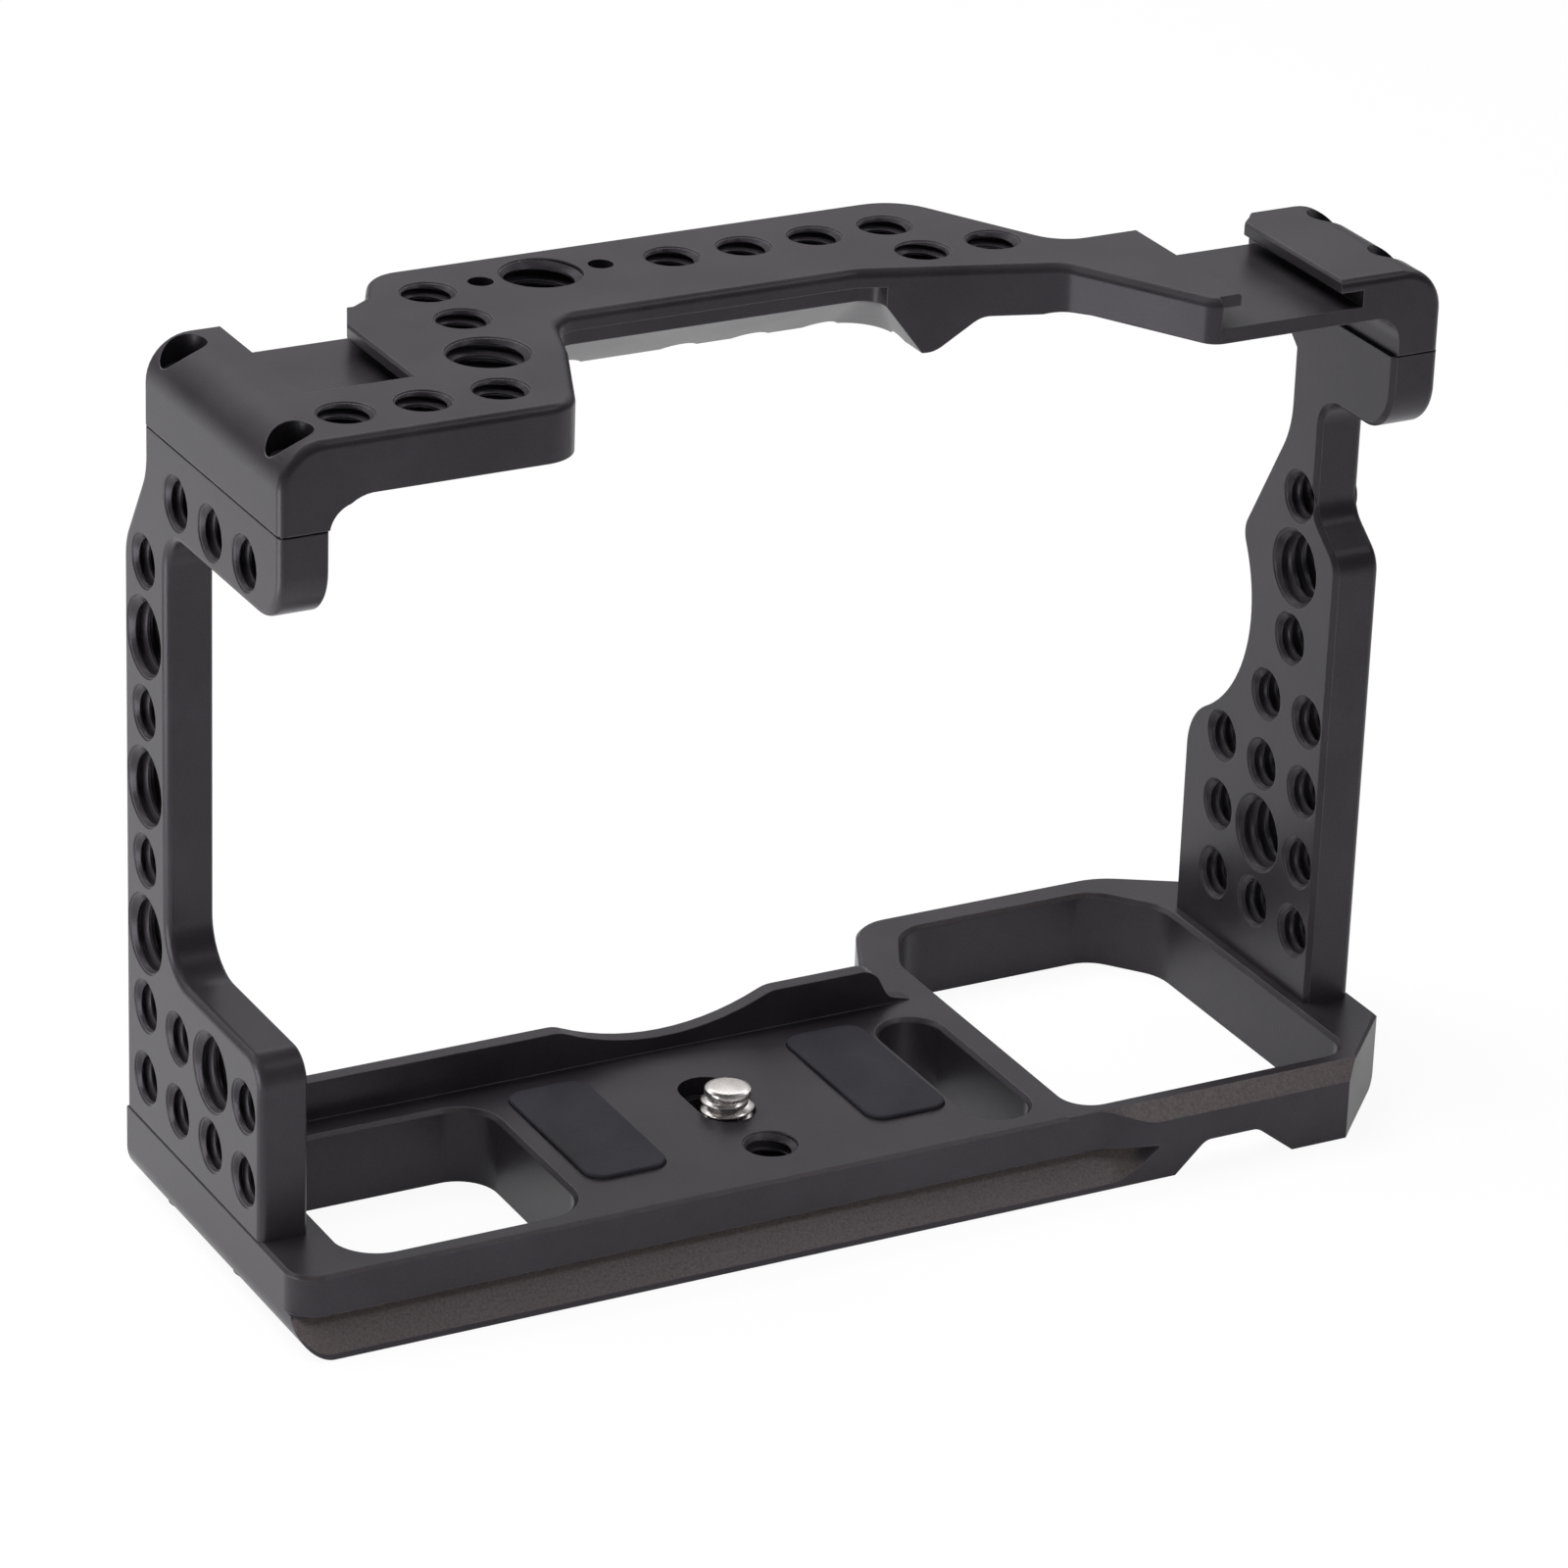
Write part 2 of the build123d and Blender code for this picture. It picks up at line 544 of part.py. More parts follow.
    # lip corners cut back
    with BuildSketch(level(top_z - shoe_depth)):
        with BuildLine():
            x, far_x = left_shoe_x + shoe_gap / 2, left_shoe_x + shoe_slot / 2 - 0.25
            Polyline((x - 0.85, left_far_y - 6.2), (x, left_far_y - 5.9), (far_x, left_far_y + 0.2),
                     (x - 0.85, left_far_y + 0.2), close=True)
        make_face()
        with BuildLine():
            x, far_x = right_shoe_x + shoe_gap / 2, right_shoe_x + shoe_slot / 2 - 0.15
            Polyline((x - 0.5, right_far_y - 3.9), (x, right_far_y - 3.6), (far_x, right_far_y - 0.8),
                     (far_x, right_far_y + 0.4), (x - 0.5, right_far_y + 0.4), close=True)
        make_face()
        with BuildLine():
            x, far_x = right_shoe_x - shoe_slot / 2 + 0.05, right_shoe_x - shoe_gap / 2 + 0.25
            Polyline((x, right_rear_y - 0.6), (far_x, right_rear_y - 0.6), (far_x, right_rear_y + 1.1),
                     (x, right_rear_y + 1.1), close=True)
        make_face()
    extrude(amount=shoe_depth, mode=Mode.SUBTRACT)
    # fine groove round each leg where it meets its side plate
    with BuildSketch(level(seam_z)):
        for x, far_x, y, far_y in ((0, left_thick, rear_y, left_far_y),
                                   (right_inner, right_outer, right_rear_y, right_far_y)):
            with Locations(((x + far_x) / 2, (y + far_y) / 2)):
                Rectangle(far_x - x + 1, far_y - y + 1)
                Rectangle(far_x - x - 2 * seam_groove, far_y - y - 2 * seam_groove, mode=Mode.SUBTRACT)
    extrude(amount=0.2, mode=Mode.SUBTRACT)
    # accessory and locating holes
    tap(level(top_z), top_quarter, quarter_r, top_z - seam_z)
    tap(level(top_z), top_three_eight, three_eight_r, top_z - seam_z)
    bore(level(top_z), locating, locating_r, top_z - seam_z)
    # joint screws from above
    screws = left_top_screws + right_top_screws
    bore(level(top_z), screws, joint_shank_r + through_fit, top_z - seam_z)
    bore(level(top_z), screws, joint_seat_r, top_z - top_seat_z)
top_plate.part.label = "top_plate"
export_step(top_plate.part, "parts/top_plate.step")

# joint screws: cylindrical heads with a hexagon socket
socket_r = 1.3
socket_deep = 1.4
top_shank = top_seat_z - seam_z + joint_grip
base_shank = -base_seat_z + base_grip
joint_screws = {
    "top_screw_left_rear": (left_top_screws[0], level(top_seat_z), top_shank, 1),
    "top_screw_left_far": (left_top_screws[1], level(top_seat_z), top_shank, 1),
    "top_screw_right_rear": (right_top_screws[0], level(top_seat_z), top_shank, 1),
    "top_screw_right_far": (right_top_screws[1], level(top_seat_z), top_shank, 1),
    "base_screw_left_rear": (left_base_screws[0], from_below(base_seat_z), base_shank, -1),
    "base_screw_left_far": (left_base_screws[1], from_below(base_seat_z), base_shank, -1),
    "base_screw_right_rear": (right_base_screws[0], from_below(base_seat_z), base_shank, -1),
    "base_screw_right_far": (right_base_screws[1], from_below(base_seat_z), base_shank, -1),
}
for name, (spot, seat, shank, turn) in joint_screws.items():
    with BuildPart(seat) as joint_screw:
        with Locations((spot[0], turn * spot[1])):
            Cylinder(joint_head_r, joint_head_h, align=(Align.CENTER, Align.CENTER, Align.MIN))
            Cylinder(joint_shank_r, shank, align=(Align.CENTER, Align.CENTER, Align.MAX))
        head_rim = edges().filter_by(GeomType.CIRCLE).sort_by(Axis.Z)[-1 if turn > 0 else 0]
        chamfer(head_rim, 0.3)
        with BuildSketch(seat.offset(joint_head_h)):
            with Locations((spot[0], turn * spot[1])):
                RegularPolygon(socket_r, 6)
        extrude(amount=-socket_deep, mode=Mode.SUBTRACT)
    joint_screw.part.label = name
    export_step(joint_screw.part, f"parts/{name}.step")

# grip pads on their adhesive films
for side, spot in pads.items():
    with BuildPart() as film:
        with BuildSketch(level(-pad_pocket)):
            with Locations(spot):
                RectangleRounded(pad_size[0], pad_size[1], pad_round)
        extrude(amount=film_thick)
    film.part.label = f"pad_film_{side}"
    export_step(film.part, f"parts/pad_film_{side}.step")
    with BuildPart() as pad:
        with BuildSketch(level(film_thick - pad_pocket)):
            with Locations(spot):
                RectangleRounded(pad_size[0], pad_size[1], pad_round)
        extrude(amount=pad_thick)
        chamfer(edges().group_by(Axis.Z)[-1], 0.15)
    pad.part.label = f"grip_pad_{side}"
    export_step(pad.part, f"parts/grip_pad_{side}.step")

# camera screw, dropped by its captive lift: head, plain neck, threaded end and flat dog point
guide_low = roof_z - guide_thick
thrust_low = guide_low - thrust_thick - screw_lift
head_low = thrust_low - head_thick

with BuildPart() as camera_screw:
    with BuildSketch(upright(screw_y)):
        with BuildLine():
            Polyline((screw_x, head_low), (screw_x + head_r, head_low), (screw_x + head_r, thrust_low),
                     (screw_x + neck_r, thrust_low), (screw_x + neck_r, thread_low),
                     (screw_x + screw_r - 0.5, thread_low), (screw_x + screw_r, thread_low + 0.5),
                     (screw_x + screw_r, screw_top - dog_h - 0.5), (screw_x + dog_r, screw_top - dog_h),
                     (screw_x + dog_r, screw_top - 0.3), (screw_x + dog_r - 0.3, screw_top),
                     (screw_x, screw_top), close=True)
        make_face()
    revolve(axis=Axis((screw_x - cage_width / 2, screw_y - centre_y, 0), (0, 0, 1)))
    chamfer(edges().filter_by(GeomType.CIRCLE).group_by(Axis.Z)[0], 0.4)
    with BuildSketch(level(head_low)):
        with Locations((screw_x, screw_y)):
            Rectangle(3 * head_r, coin_slot)
    extrude(amount=coin_slot_deep, mode=Mode.SUBTRACT)
camera_screw.part.label = "camera_screw"
export_step(camera_screw.part, "parts/camera_screw.step")

# washers between the slot roof and the screw head
for name, low, thick, outer_r in (("guide_washer", guide_low, guide_thick, washer_r),
                                  ("thrust_washer", thrust_low, thrust_thick, head_r)):
    with BuildPart() as washer:
        with BuildSketch(level(low)):
            with Locations((screw_x, screw_y)):
                Circle(outer_r)
                Circle(neck_r + neck_fit, mode=Mode.SUBTRACT)
        extrude(amount=thick)
    washer.part.label = name
    export_step(washer.part, f"parts/{name}.step")
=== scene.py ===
import json
import math
import bpy
import bmesh
from mathutils import Matrix, Vector


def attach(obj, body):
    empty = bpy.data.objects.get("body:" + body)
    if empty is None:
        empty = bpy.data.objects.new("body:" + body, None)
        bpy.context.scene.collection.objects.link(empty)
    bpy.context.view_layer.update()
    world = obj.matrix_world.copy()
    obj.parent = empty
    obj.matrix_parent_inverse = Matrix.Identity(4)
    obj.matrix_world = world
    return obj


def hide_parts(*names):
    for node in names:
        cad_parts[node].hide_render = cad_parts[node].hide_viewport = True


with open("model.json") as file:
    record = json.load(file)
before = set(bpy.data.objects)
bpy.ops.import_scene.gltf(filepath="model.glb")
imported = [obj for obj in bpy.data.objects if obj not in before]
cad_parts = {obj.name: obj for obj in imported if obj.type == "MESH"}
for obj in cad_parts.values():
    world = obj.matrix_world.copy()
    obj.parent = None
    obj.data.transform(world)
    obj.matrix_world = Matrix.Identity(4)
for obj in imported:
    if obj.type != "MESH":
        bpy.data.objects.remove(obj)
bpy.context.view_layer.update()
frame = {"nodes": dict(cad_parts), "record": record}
nodes = frame["nodes"]
print("frame loaded:", len(nodes), "nodes")

mm = 0.001


def at(x, y, z):
    # millimetres from the left face, the rear edge of the floor and the floor's top, into the frame
    return Vector(((x - 73.0) * mm, (y - 27.25) * mm, (z + 9.5) * mm))


# node helpers
def newGroup(name, inputs, outputs):
    group = bpy.data.node_groups.new(name, "ShaderNodeTree")
    for socketName, kind, value in inputs:
        item = group.interface.new_socket(name=socketName, in_out="INPUT", socket_type=kind)
        if value is not None:
            item.default_value = value
    for socketName, kind in outputs:
        group.interface.new_socket(name=socketName, in_out="OUTPUT", socket_type=kind)
    start = group.nodes.new("NodeGroupInput")
    end = group.nodes.new("NodeGroupOutput")
    return group, start, end


def addNode(tree, kind, values=None, links=None, **settings):
    # values fill sockets, links join them, settings are the node's own fields
    node = tree.nodes.new(kind)
    for field, value in settings.items():
        setattr(node, field, value)
    for key, value in (values or {}).items():
        node.inputs[key].default_value = value
    for key, socket in (links or {}).items():
        tree.links.new(socket, node.inputs[key])
    return node


def makeBlastGrain():
    # fine bead-blasted skin: a height for the bump, a shade and a roughness change
    group, start, end = newGroup(
        "blastGrain",
        [("Grain Size mm", "NodeSocketFloat", 0.16), ("Cloud Size mm", "NodeSocketFloat", 9.0)],
        [("Height", "NodeSocketFloat"), ("Shade", "NodeSocketFloat"), ("Gloss Shift", "NodeSocketFloat")])
    place = addNode(group, "ShaderNodeTexCoord")
    grainScale = addNode(group, "ShaderNodeMath", {0: 1000.0}, {1: start.outputs["Grain Size mm"]},
                         operation="DIVIDE")
    cloudScale = addNode(group, "ShaderNodeMath", {0: 1000.0}, {1: start.outputs["Cloud Size mm"]},
                         operation="DIVIDE")
    grain = addNode(group, "ShaderNodeTexNoise", {"Detail": 2.0, "Roughness": 0.6},
                    {"Vector": place.outputs["Object"], "Scale": grainScale.outputs[0]})
    dimples = addNode(group, "ShaderNodeTexVoronoi", {"Randomness": 1.0},
                      {"Vector": place.outputs["Object"], "Scale": grainScale.outputs[0]},
                      feature="SMOOTH_F1")
    clouds = addNode(group, "ShaderNodeTexNoise", {"Detail": 3.0, "Roughness": 0.5},
                     {"Vector": place.outputs["Object"], "Scale": cloudScale.outputs[0]})
    height = addNode(group, "ShaderNodeMath", {2: 0.0},
                     {0: grain.outputs["Fac"], 1: dimples.outputs["Distance"]}, operation="ADD")
    speckle = addNode(group, "ShaderNodeMapRange",
                      {"From Min": 0.3, "From Max": 0.7, "To Min": -0.5, "To Max": 0.5},
                      {"Value": grain.outputs["Fac"]})
    drift = addNode(group, "ShaderNodeMapRange",
                    {"From Min": 0.3, "From Max": 0.7, "To Min": -0.5, "To Max": 0.5},
                    {"Value": clouds.outputs["Fac"]})
    shade = addNode(group, "ShaderNodeMath", {1: 0.5},
                    {0: speckle.outputs["Result"], 2: drift.outputs["Result"]}, operation="MULTIPLY_ADD")
    group.links.new(height.outputs[0], end.inputs["Height"])
    group.links.new(shade.outputs[0], end.inputs["Shade"])
    group.links.new(drift.outputs["Result"], end.inputs["Gloss Shift"])
    return group


def makePaintedEdgeHighlight():
    # 0 on flat faces, rising to 1 along outside edges, broken up by noise: the mask where a lighter colour
    # paints a highlight along the edges, given out with the rounded normal
    group, start, end = newGroup(
        "paintedEdgeHighlight", [("Width mm", "NodeSocketFloat", 0.25), ("Break Up mm", "NodeSocketFloat", 2.5)],
        [("Mask", "NodeSocketFloat"), ("Normal", "NodeSocketVector")])
    width = addNode(group, "ShaderNodeMath", {1: mm}, {0: start.outputs["Width mm"]}, operation="MULTIPLY")
    rounded = addNode(group, "ShaderNodeBevel", links={"Radius": width.outputs[0]}, samples=6)
    place = addNode(group, "ShaderNodeNewGeometry")
    turn = addNode(group, "ShaderNodeVectorMath",
                   links={0: rounded.outputs["Normal"], 1: place.outputs["Normal"]}, operation="DOT_PRODUCT")
    edge = addNode(group, "ShaderNodeMapRange",
                   {"From Min": 0.995, "From Max": 0.86, "To Min": 0.0, "To Max": 1.0},
                   {"Value": turn.outputs["Value"]})
    where = addNode(group, "ShaderNodeTexCoord")
    scale = addNode(group, "ShaderNodeMath", {0: 1000.0}, {1: start.outputs["Break Up mm"]},
                    operation="DIVIDE")
    noise = addNode(group, "ShaderNodeTexNoise", {"Detail": 2.0},
                    {"Vector": where.outputs["Object"], "Scale": scale.outputs[0]})
    patches = addNode(group, "ShaderNodeMapRange",
                      {"From Min": 0.25, "From Max": 0.6, "To Min": 0.35, "To Max": 1.0},
                      {"Value": noise.outputs["Fac"]})
    mask = addNode(group, "ShaderNodeMath", links={0: edge.outputs["Result"], 1: patches.outputs["Result"]},
                   operation="MULTIPLY")
    group.links.new(mask.outputs[0], end.inputs["Mask"])
    group.links.new(rounded.outputs["Normal"], end.inputs["Normal"])
    return group


# heights and widths in metres, speckle in mm
paintedSlantZones = {"speckle": 0.3, "flankTop": 0.0065, "slopeTop": 0.0095, "slopeFade": 0.026,
              "slopeFrom": 0.034, "rimFrom": 0.0087, "rimFull": 0.0089, "rimTop": 0.0097, "rimShare": 0.3}


def makePaintedSlantHighlight():
    # 1 on the base's slanted facets, the rail's flanks low down and the slope at the right end, picked by
    # which way they face: a mask for painted highlight, a lighter, browner colour standing in for the front
    # light and the floor's bounce that these facets catch
    zones = paintedSlantZones
    group, start, end = newGroup(
        "paintedSlantHighlight", [("Speckle mm", "NodeSocketFloat", zones["speckle"]),
                      ("Flank Top", "NodeSocketFloat", zones["flankTop"]),
                      ("Slope Top", "NodeSocketFloat", zones["slopeTop"]),
                      ("Slope From", "NodeSocketFloat", zones["slopeFrom"])],
        [("Mask", "NodeSocketFloat")])
    place = addNode(group, "ShaderNodeTexCoord")
    split = addNode(group, "ShaderNodeSeparateXYZ", links={0: place.outputs["Normal"]})
    both = addNode(group, "ShaderNodeMath", links={0: split.outputs["Y"], 1: split.outputs["Z"]},
                   operation="MULTIPLY")
    size = addNode(group, "ShaderNodeMath", links={0: both.outputs[0]}, operation="ABSOLUTE")
    facet = addNode(group, "ShaderNodeMapRange", {"From Min": 0.36, "From Max": 0.46},
                    {"Value": size.outputs[0]}, interpolation_type="SMOOTHSTEP")
    scale = addNode(group, "ShaderNodeMath", {0: 1000.0}, {1: start.outputs["Speckle mm"]},
                    operation="DIVIDE")
    noise = addNode(group, "ShaderNodeTexNoise", {"Detail": 2.0},
                    {"Vector": place.outputs["Object"], "Scale": scale.outputs[0]})
    speckle = addNode(group, "ShaderNodeMapRange",
                      {"From Min": 0.3, "From Max": 0.65, "To Min": 0.45, "To Max": 1.0},
                      {"Value": noise.outputs["Fac"]})
    where = addNode(group, "ShaderNodeSeparateXYZ", links={0: place.outputs["Object"]})
    low = addNode(group, "ShaderNodeMath", links={0: where.outputs["Z"], 1: start.outputs["Flank Top"]},
                  operation="LESS_THAN")
    base = addNode(group, "ShaderNodeMath", links={0: where.outputs["Z"], 1: start.outputs["Slope Top"]},
                   operation="LESS_THAN")
    right = addNode(group, "ShaderNodeMapRange", {"From Min": zones["slopeFade"]},
                    {"Value": where.outputs["X"], "From Max": start.outputs["Slope From"]})
    rear = addNode(group, "ShaderNodeMath", {1: 0.0}, {0: where.outputs["Y"]}, operation="LESS_THAN")
    corner = addNode(group, "ShaderNodeMath", links={0: right.outputs[0], 1: rear.outputs[0]},
                     operation="MULTIPLY")
    slope = addNode(group, "ShaderNodeMath", links={0: base.outputs[0], 1: corner.outputs[0]},
                    operation="MULTIPLY")
    flats = addNode(group, "ShaderNodeMath", links={0: low.outputs[0], 1: slope.outputs[0]},
                    operation="MAXIMUM")
    # the chamfers round the floor take about a third of the painted highlight
    rim = addNode(group, "ShaderNodeMapRange",
                  {"From Min": zones["rimFrom"], "From Max": zones["rimFull"], "To Max": zones["rimShare"]},
                  {"Value": where.outputs["Z"]})
    upTo = addNode(group, "ShaderNodeMath", {1: zones["rimTop"]}, {0: where.outputs["Z"]},
                   operation="LESS_THAN")
    chamfer = addNode(group, "ShaderNodeMath", links={0: rim.outputs[0], 1: upTo.outputs[0]},
                      operation="MULTIPLY")
    area = addNode(group, "ShaderNodeMath", links={0: flats.outputs[0], 1: chamfer.outputs[0]},
                   operation="MAXIMUM")
    grainy = addNode(group, "ShaderNodeMath", links={0: facet.outputs[0], 1: speckle.outputs["Result"]},
                     operation="MULTIPLY")
    mask = addNode(group, "ShaderNodeMath", links={0: grainy.outputs[0], 1: area.outputs[0]},
                   operation="MULTIPLY")
    group.links.new(mask.outputs[0], end.inputs["Mask"])
    return group


blastGrain = makeBlastGrain()
paintedEdgeHighlight = makePaintedEdgeHighlight()
paintedSlantHighlight = makePaintedSlantHighlight()


def skinMaterial(name, look):
    # matte or glossy skin whose colour, roughness and bump come from the grain group
    material = bpy.data.materials.new(name)
    material.use_nodes = True
    tree = material.node_tree
    shader = tree.nodes["Principled BSDF"]
    shader.inputs["Metallic"].default_value = look["metal"]
    shader.inputs["Specular IOR Level"].default_value = look["specular"]
    shader.inputs["IOR"].default_value = look["ior"]
    shader.inputs["Specular Tint"].default_value = (*look.get("tint", (1.0, 1.0, 1.0)), 1)
    grain = addNode(tree, "ShaderNodeGroup", node_tree=blastGrain)
    grain.inputs["Grain Size mm"].default_value = look["grainSize"]
    grain.inputs["Cloud Size mm"].default_value = look["cloudSize"]
    tone = addNode(tree, "ShaderNodeMath", {1: look["shadeRange"], 2: 0.5}, {0: grain.outputs["Shade"]},
                   operation="MULTIPLY_ADD")
    colour = addNode(tree, "ShaderNodeMix", links={"Factor": tone.outputs[0]}, data_type="RGBA")
    colour.inputs[6].default_value = (*look["dark"], 1)
    colour.inputs[7].default_value = (*look["light"], 1)
    surface = colour.outputs[2]
    # a lighter, browner colour on the near-facing slanted facets: painted highlight
    if look.get("slantHighlight"):
        slantHighlight = addNode(tree, "ShaderNodeGroup", node_tree=paintedSlantHighlight)
        part = addNode(tree, "ShaderNodeMath", {1: look["slantHighlight"]}, {0: slantHighlight.outputs["Mask"]},
                       operation="MULTIPLY")
        cut = addNode(tree, "ShaderNodeMix", links={"Factor": part.outputs[0]}, data_type="RGBA")
        cut.inputs[7].default_value = (*look["slantHighlightColour"], 1)
        tree.links.new(surface, cut.inputs[6])
        surface = cut.outputs[2]
    softNormal = None
    # a lighter colour along the outside edges: painted highlight
    if look.get("edgeGlint"):
        edgeGlint = addNode(tree, "ShaderNodeGroup", node_tree=paintedEdgeHighlight)
        edgeGlint.inputs["Width mm"].default_value = look["edgeGlintWidth"]
        amount = addNode(tree, "ShaderNodeMath", {1: look["edgeGlint"]}, {0: edgeGlint.outputs["Mask"]},
                         operation="MULTIPLY")
        glinted = addNode(tree, "ShaderNodeMix", links={"Factor": amount.outputs[0]}, data_type="RGBA")
        glinted.inputs[7].default_value = (*look["edgeGlintColour"], 1)
        tree.links.new(surface, glinted.inputs[6])
        surface = glinted.outputs[2]
        softNormal = edgeGlint.outputs["Normal"]
    tree.links.new(surface, shader.inputs["Base Color"])
    rough = addNode(tree, "ShaderNodeMath", {1: look["roughRange"], 2: look["rough"]},
                    {0: grain.outputs["Gloss Shift"]}, operation="MULTIPLY_ADD")
    tree.links.new(rough.outputs[0], shader.inputs["Roughness"])
    bump = addNode(tree, "ShaderNodeBump", {"Strength": look["bump"], "Distance": look["bumpDepth"] * mm},
                   {"Height": grain.outputs["Height"]})
    if softNormal:
        tree.links.new(softNormal, bump.inputs["Normal"])
    tree.links.new(bump.outputs["Normal"], shader.inputs["Normal"])
    return material


# sizes in mm
anodise = {"dark": (0.0180, 0.0162, 0.0186), "light": (0.0300, 0.0268, 0.0312), "metal": 0.0,
           "specular": 0.30, "tint": (0.94, 0.90, 1.0), "ior": 1.5, "rough": 0.32, "roughRange": 0.06,
           "grainSize": 0.24, "cloudSize": 11.0, "shadeRange": 1.0, "bump": 0.45, "bumpDepth": 0.02,
           # the lighter colour along the edges: painted highlight
           "edgeGlint": 0.8, "edgeGlintWidth": 0.2, "edgeGlintColour": (0.135, 0.127, 0.137),
           # the lighter, browner colour on the near-facing slanted facets: painted highlight
           "slantHighlight": 0.8, "slantHighlightColour": (0.105, 0.088, 0.084)}
rubber = {"dark": (0.0165, 0.0158, 0.0200), "light": (0.0290, 0.0275, 0.0345), "metal": 0.0,
          "specular": 0.3, "ior": 1.5, "rough": 0.66, "roughRange": 0.05,
          "grainSize": 0.28, "cloudSize": 6.0, "shadeRange": 1.0, "bump": 0.5, "bumpDepth": 0.03}
blackOxide = {"dark": (0.014, 0.014, 0.015), "light": (0.024, 0.023, 0.026), "metal": 0.6,
              "specular": 0.5, "ior": 1.5, "rough": 0.36, "roughRange": 0.08,
              "grainSize": 0.3, "cloudSize": 2.0, "shadeRange": 0.8, "bump": 0.2, "bumpDepth": 0.01,
              # the lighter colour along the edges: painted highlight
              "edgeGlint": 0.35, "edgeGlintWidth": 0.12, "edgeGlintColour": (0.12, 0.12, 0.125)}
slipPlastic = {"dark": (0.030, 0.030, 0.031), "light": (0.044, 0.044, 0.046), "metal": 0.0,
               "specular": 0.4, "ior": 1.48, "rough": 0.38, "roughRange": 0.06,
               "grainSize": 0.4, "cloudSize": 4.0, "shadeRange": 0.5, "bump": 0.15, "bumpDepth": 0.01}
filmLook = {"dark": (0.020, 0.020, 0.020), "light": (0.028, 0.028, 0.028), "metal": 0.0,
            "specular": 0.5, "ior": 1.45, "rough": 0.3, "roughRange": 0.05,
            "grainSize": 0.5, "cloudSize": 5.0, "shadeRange": 0.5, "bump": 0.15, "bumpDepth": 0.01}


def steelMaterial(name, look):
    # polished turned steel: very fine rings about the screw's axis, a little haze
    material = bpy.data.materials.new(name)
    material.use_nodes = True
    tree = material.node_tree
    shader = tree.nodes["Principled BSDF"]
    shader.inputs["Metallic"].default_value = 1.0
    place = addNode(tree, "ShaderNodeTexCoord")
    centre = addNode(tree, "ShaderNodeVectorMath", links={0: place.outputs["Object"]}, operation="SUBTRACT")
    centre.inputs[1].default_value = look["axis"]
    rings = addNode(tree, "ShaderNodeTexWave", {"Scale": look["ringScale"], "Distortion": 0.6, "Detail": 2.0},
                    {"Vector": centre.outputs[0]}, wave_type="RINGS", rings_direction="Z")
    haze = addNode(tree, "ShaderNodeTexNoise", {"Scale": look["hazeScale"], "Detail": 3.0},
                   {"Vector": place.outputs["Object"]})
    rough = addNode(tree, "ShaderNodeMapRange",
                    {"From Min": 0.3, "From Max": 0.7, "To Min": look["rough"] - look["clearer"],
                     "To Max": look["rough"] + look["hazier"]}, {"Value": haze.outputs["Fac"]})
    tree.links.new(rough.outputs["Result"], shader.inputs["Roughness"])
    colour = addNode(tree, "ShaderNodeMix", links={"Factor": haze.outputs["Fac"]}, data_type="RGBA")
    colour.inputs[6].default_value = (*look["dark"], 1)
    colour.inputs[7].default_value = (*look["light"], 1)
    tree.links.new(colour.outputs[2], shader.inputs["Base Color"])
    bump = addNode(tree, "ShaderNodeBump", {"Strength": look["bump"], "Distance": look["bumpDepth"] * mm},
                   {"Height": rings.outputs["Fac"]})
    tree.links.new(bump.outputs["Normal"], shader.inputs["Normal"])
    return material


screwPlace = (62.8, 18.2)
screwAxis = at(*screwPlace, 0)
turnedSteel = {"dark": (0.72, 0.68, 0.66), "light": (0.90, 0.86, 0.84), "rough": 0.25,
               "clearer": 0.04, "hazier": 0.06, "hazeScale": 700.0, "bump": 0.25, "bumpDepth": 0.01,
               "ringScale": 900.0, "axis": (screwAxis.x, screwAxis.y, 0.0)}

finishes = {
    "black_anodised": skinMaterial("fineBlackAnodising", anodise),
    "joint_screw_steel": skinMaterial("blackOxideSteel", blackOxide),
    "adhesive_film": skinMaterial("blackFilm", filmLook),
    "grip_rubber": skinMaterial("blueBlackRubber", rubber),
    "polished_steel": steelMaterial("turnedSteel", turnedSteel),
    "slide_plastic": skinMaterial("slipPlastic", slipPlastic),
}
print("materials made:", len(finishes))


# the solids get their finish, joined flats and softly broken edges; widths in mm
edgeBreak = {"base_plate": 0.22, "left_side_plate": 0.35, "right_side_plate": 0.35, "top_plate": 0.28,
             "other": 0.05}
weldGap, flatAngle, sharpAngle, normalWeight = 0.001, 0.4, 28.0, 60


def dress(node, slotName):
    solid = nodes[node]
    solid.data.materials.clear()
    solid.data.materials.append(finishes[slotName])
    for face in solid.data.polygons:
        face.use_smooth = True
    weld = solid.modifiers.new("weld", "WELD")
    weld.merge_threshold = weldGap * mm
    flat = solid.modifiers.new("joinFlats", "DECIMATE")
    flat.decimate_type = "DISSOLVE"
    flat.angle_limit = math.radians(flatAngle)
    rounding = solid.modifiers.new("breakEdges", "BEVEL")
    rounding.width = edgeBreak.get(node, edgeBreak["other"]) * mm
    rounding.segments = 2
    rounding.limit_method = "ANGLE"
    rounding.angle_limit = math.radians(sharpAngle)
    rounding.use_clamp_overlap = True
    rounding.loop_slide = True
    even = solid.modifiers.new("evenNormals", "WEIGHTED_NORMAL")
    even.keep_sharp = True
    even.weight = normalWeight


slotOf = {row["node"]: row["material_slot"] for row in frame["record"]["subparts"]}
for node in nodes:
    dress(node, slotOf[node])
print("solids dressed")


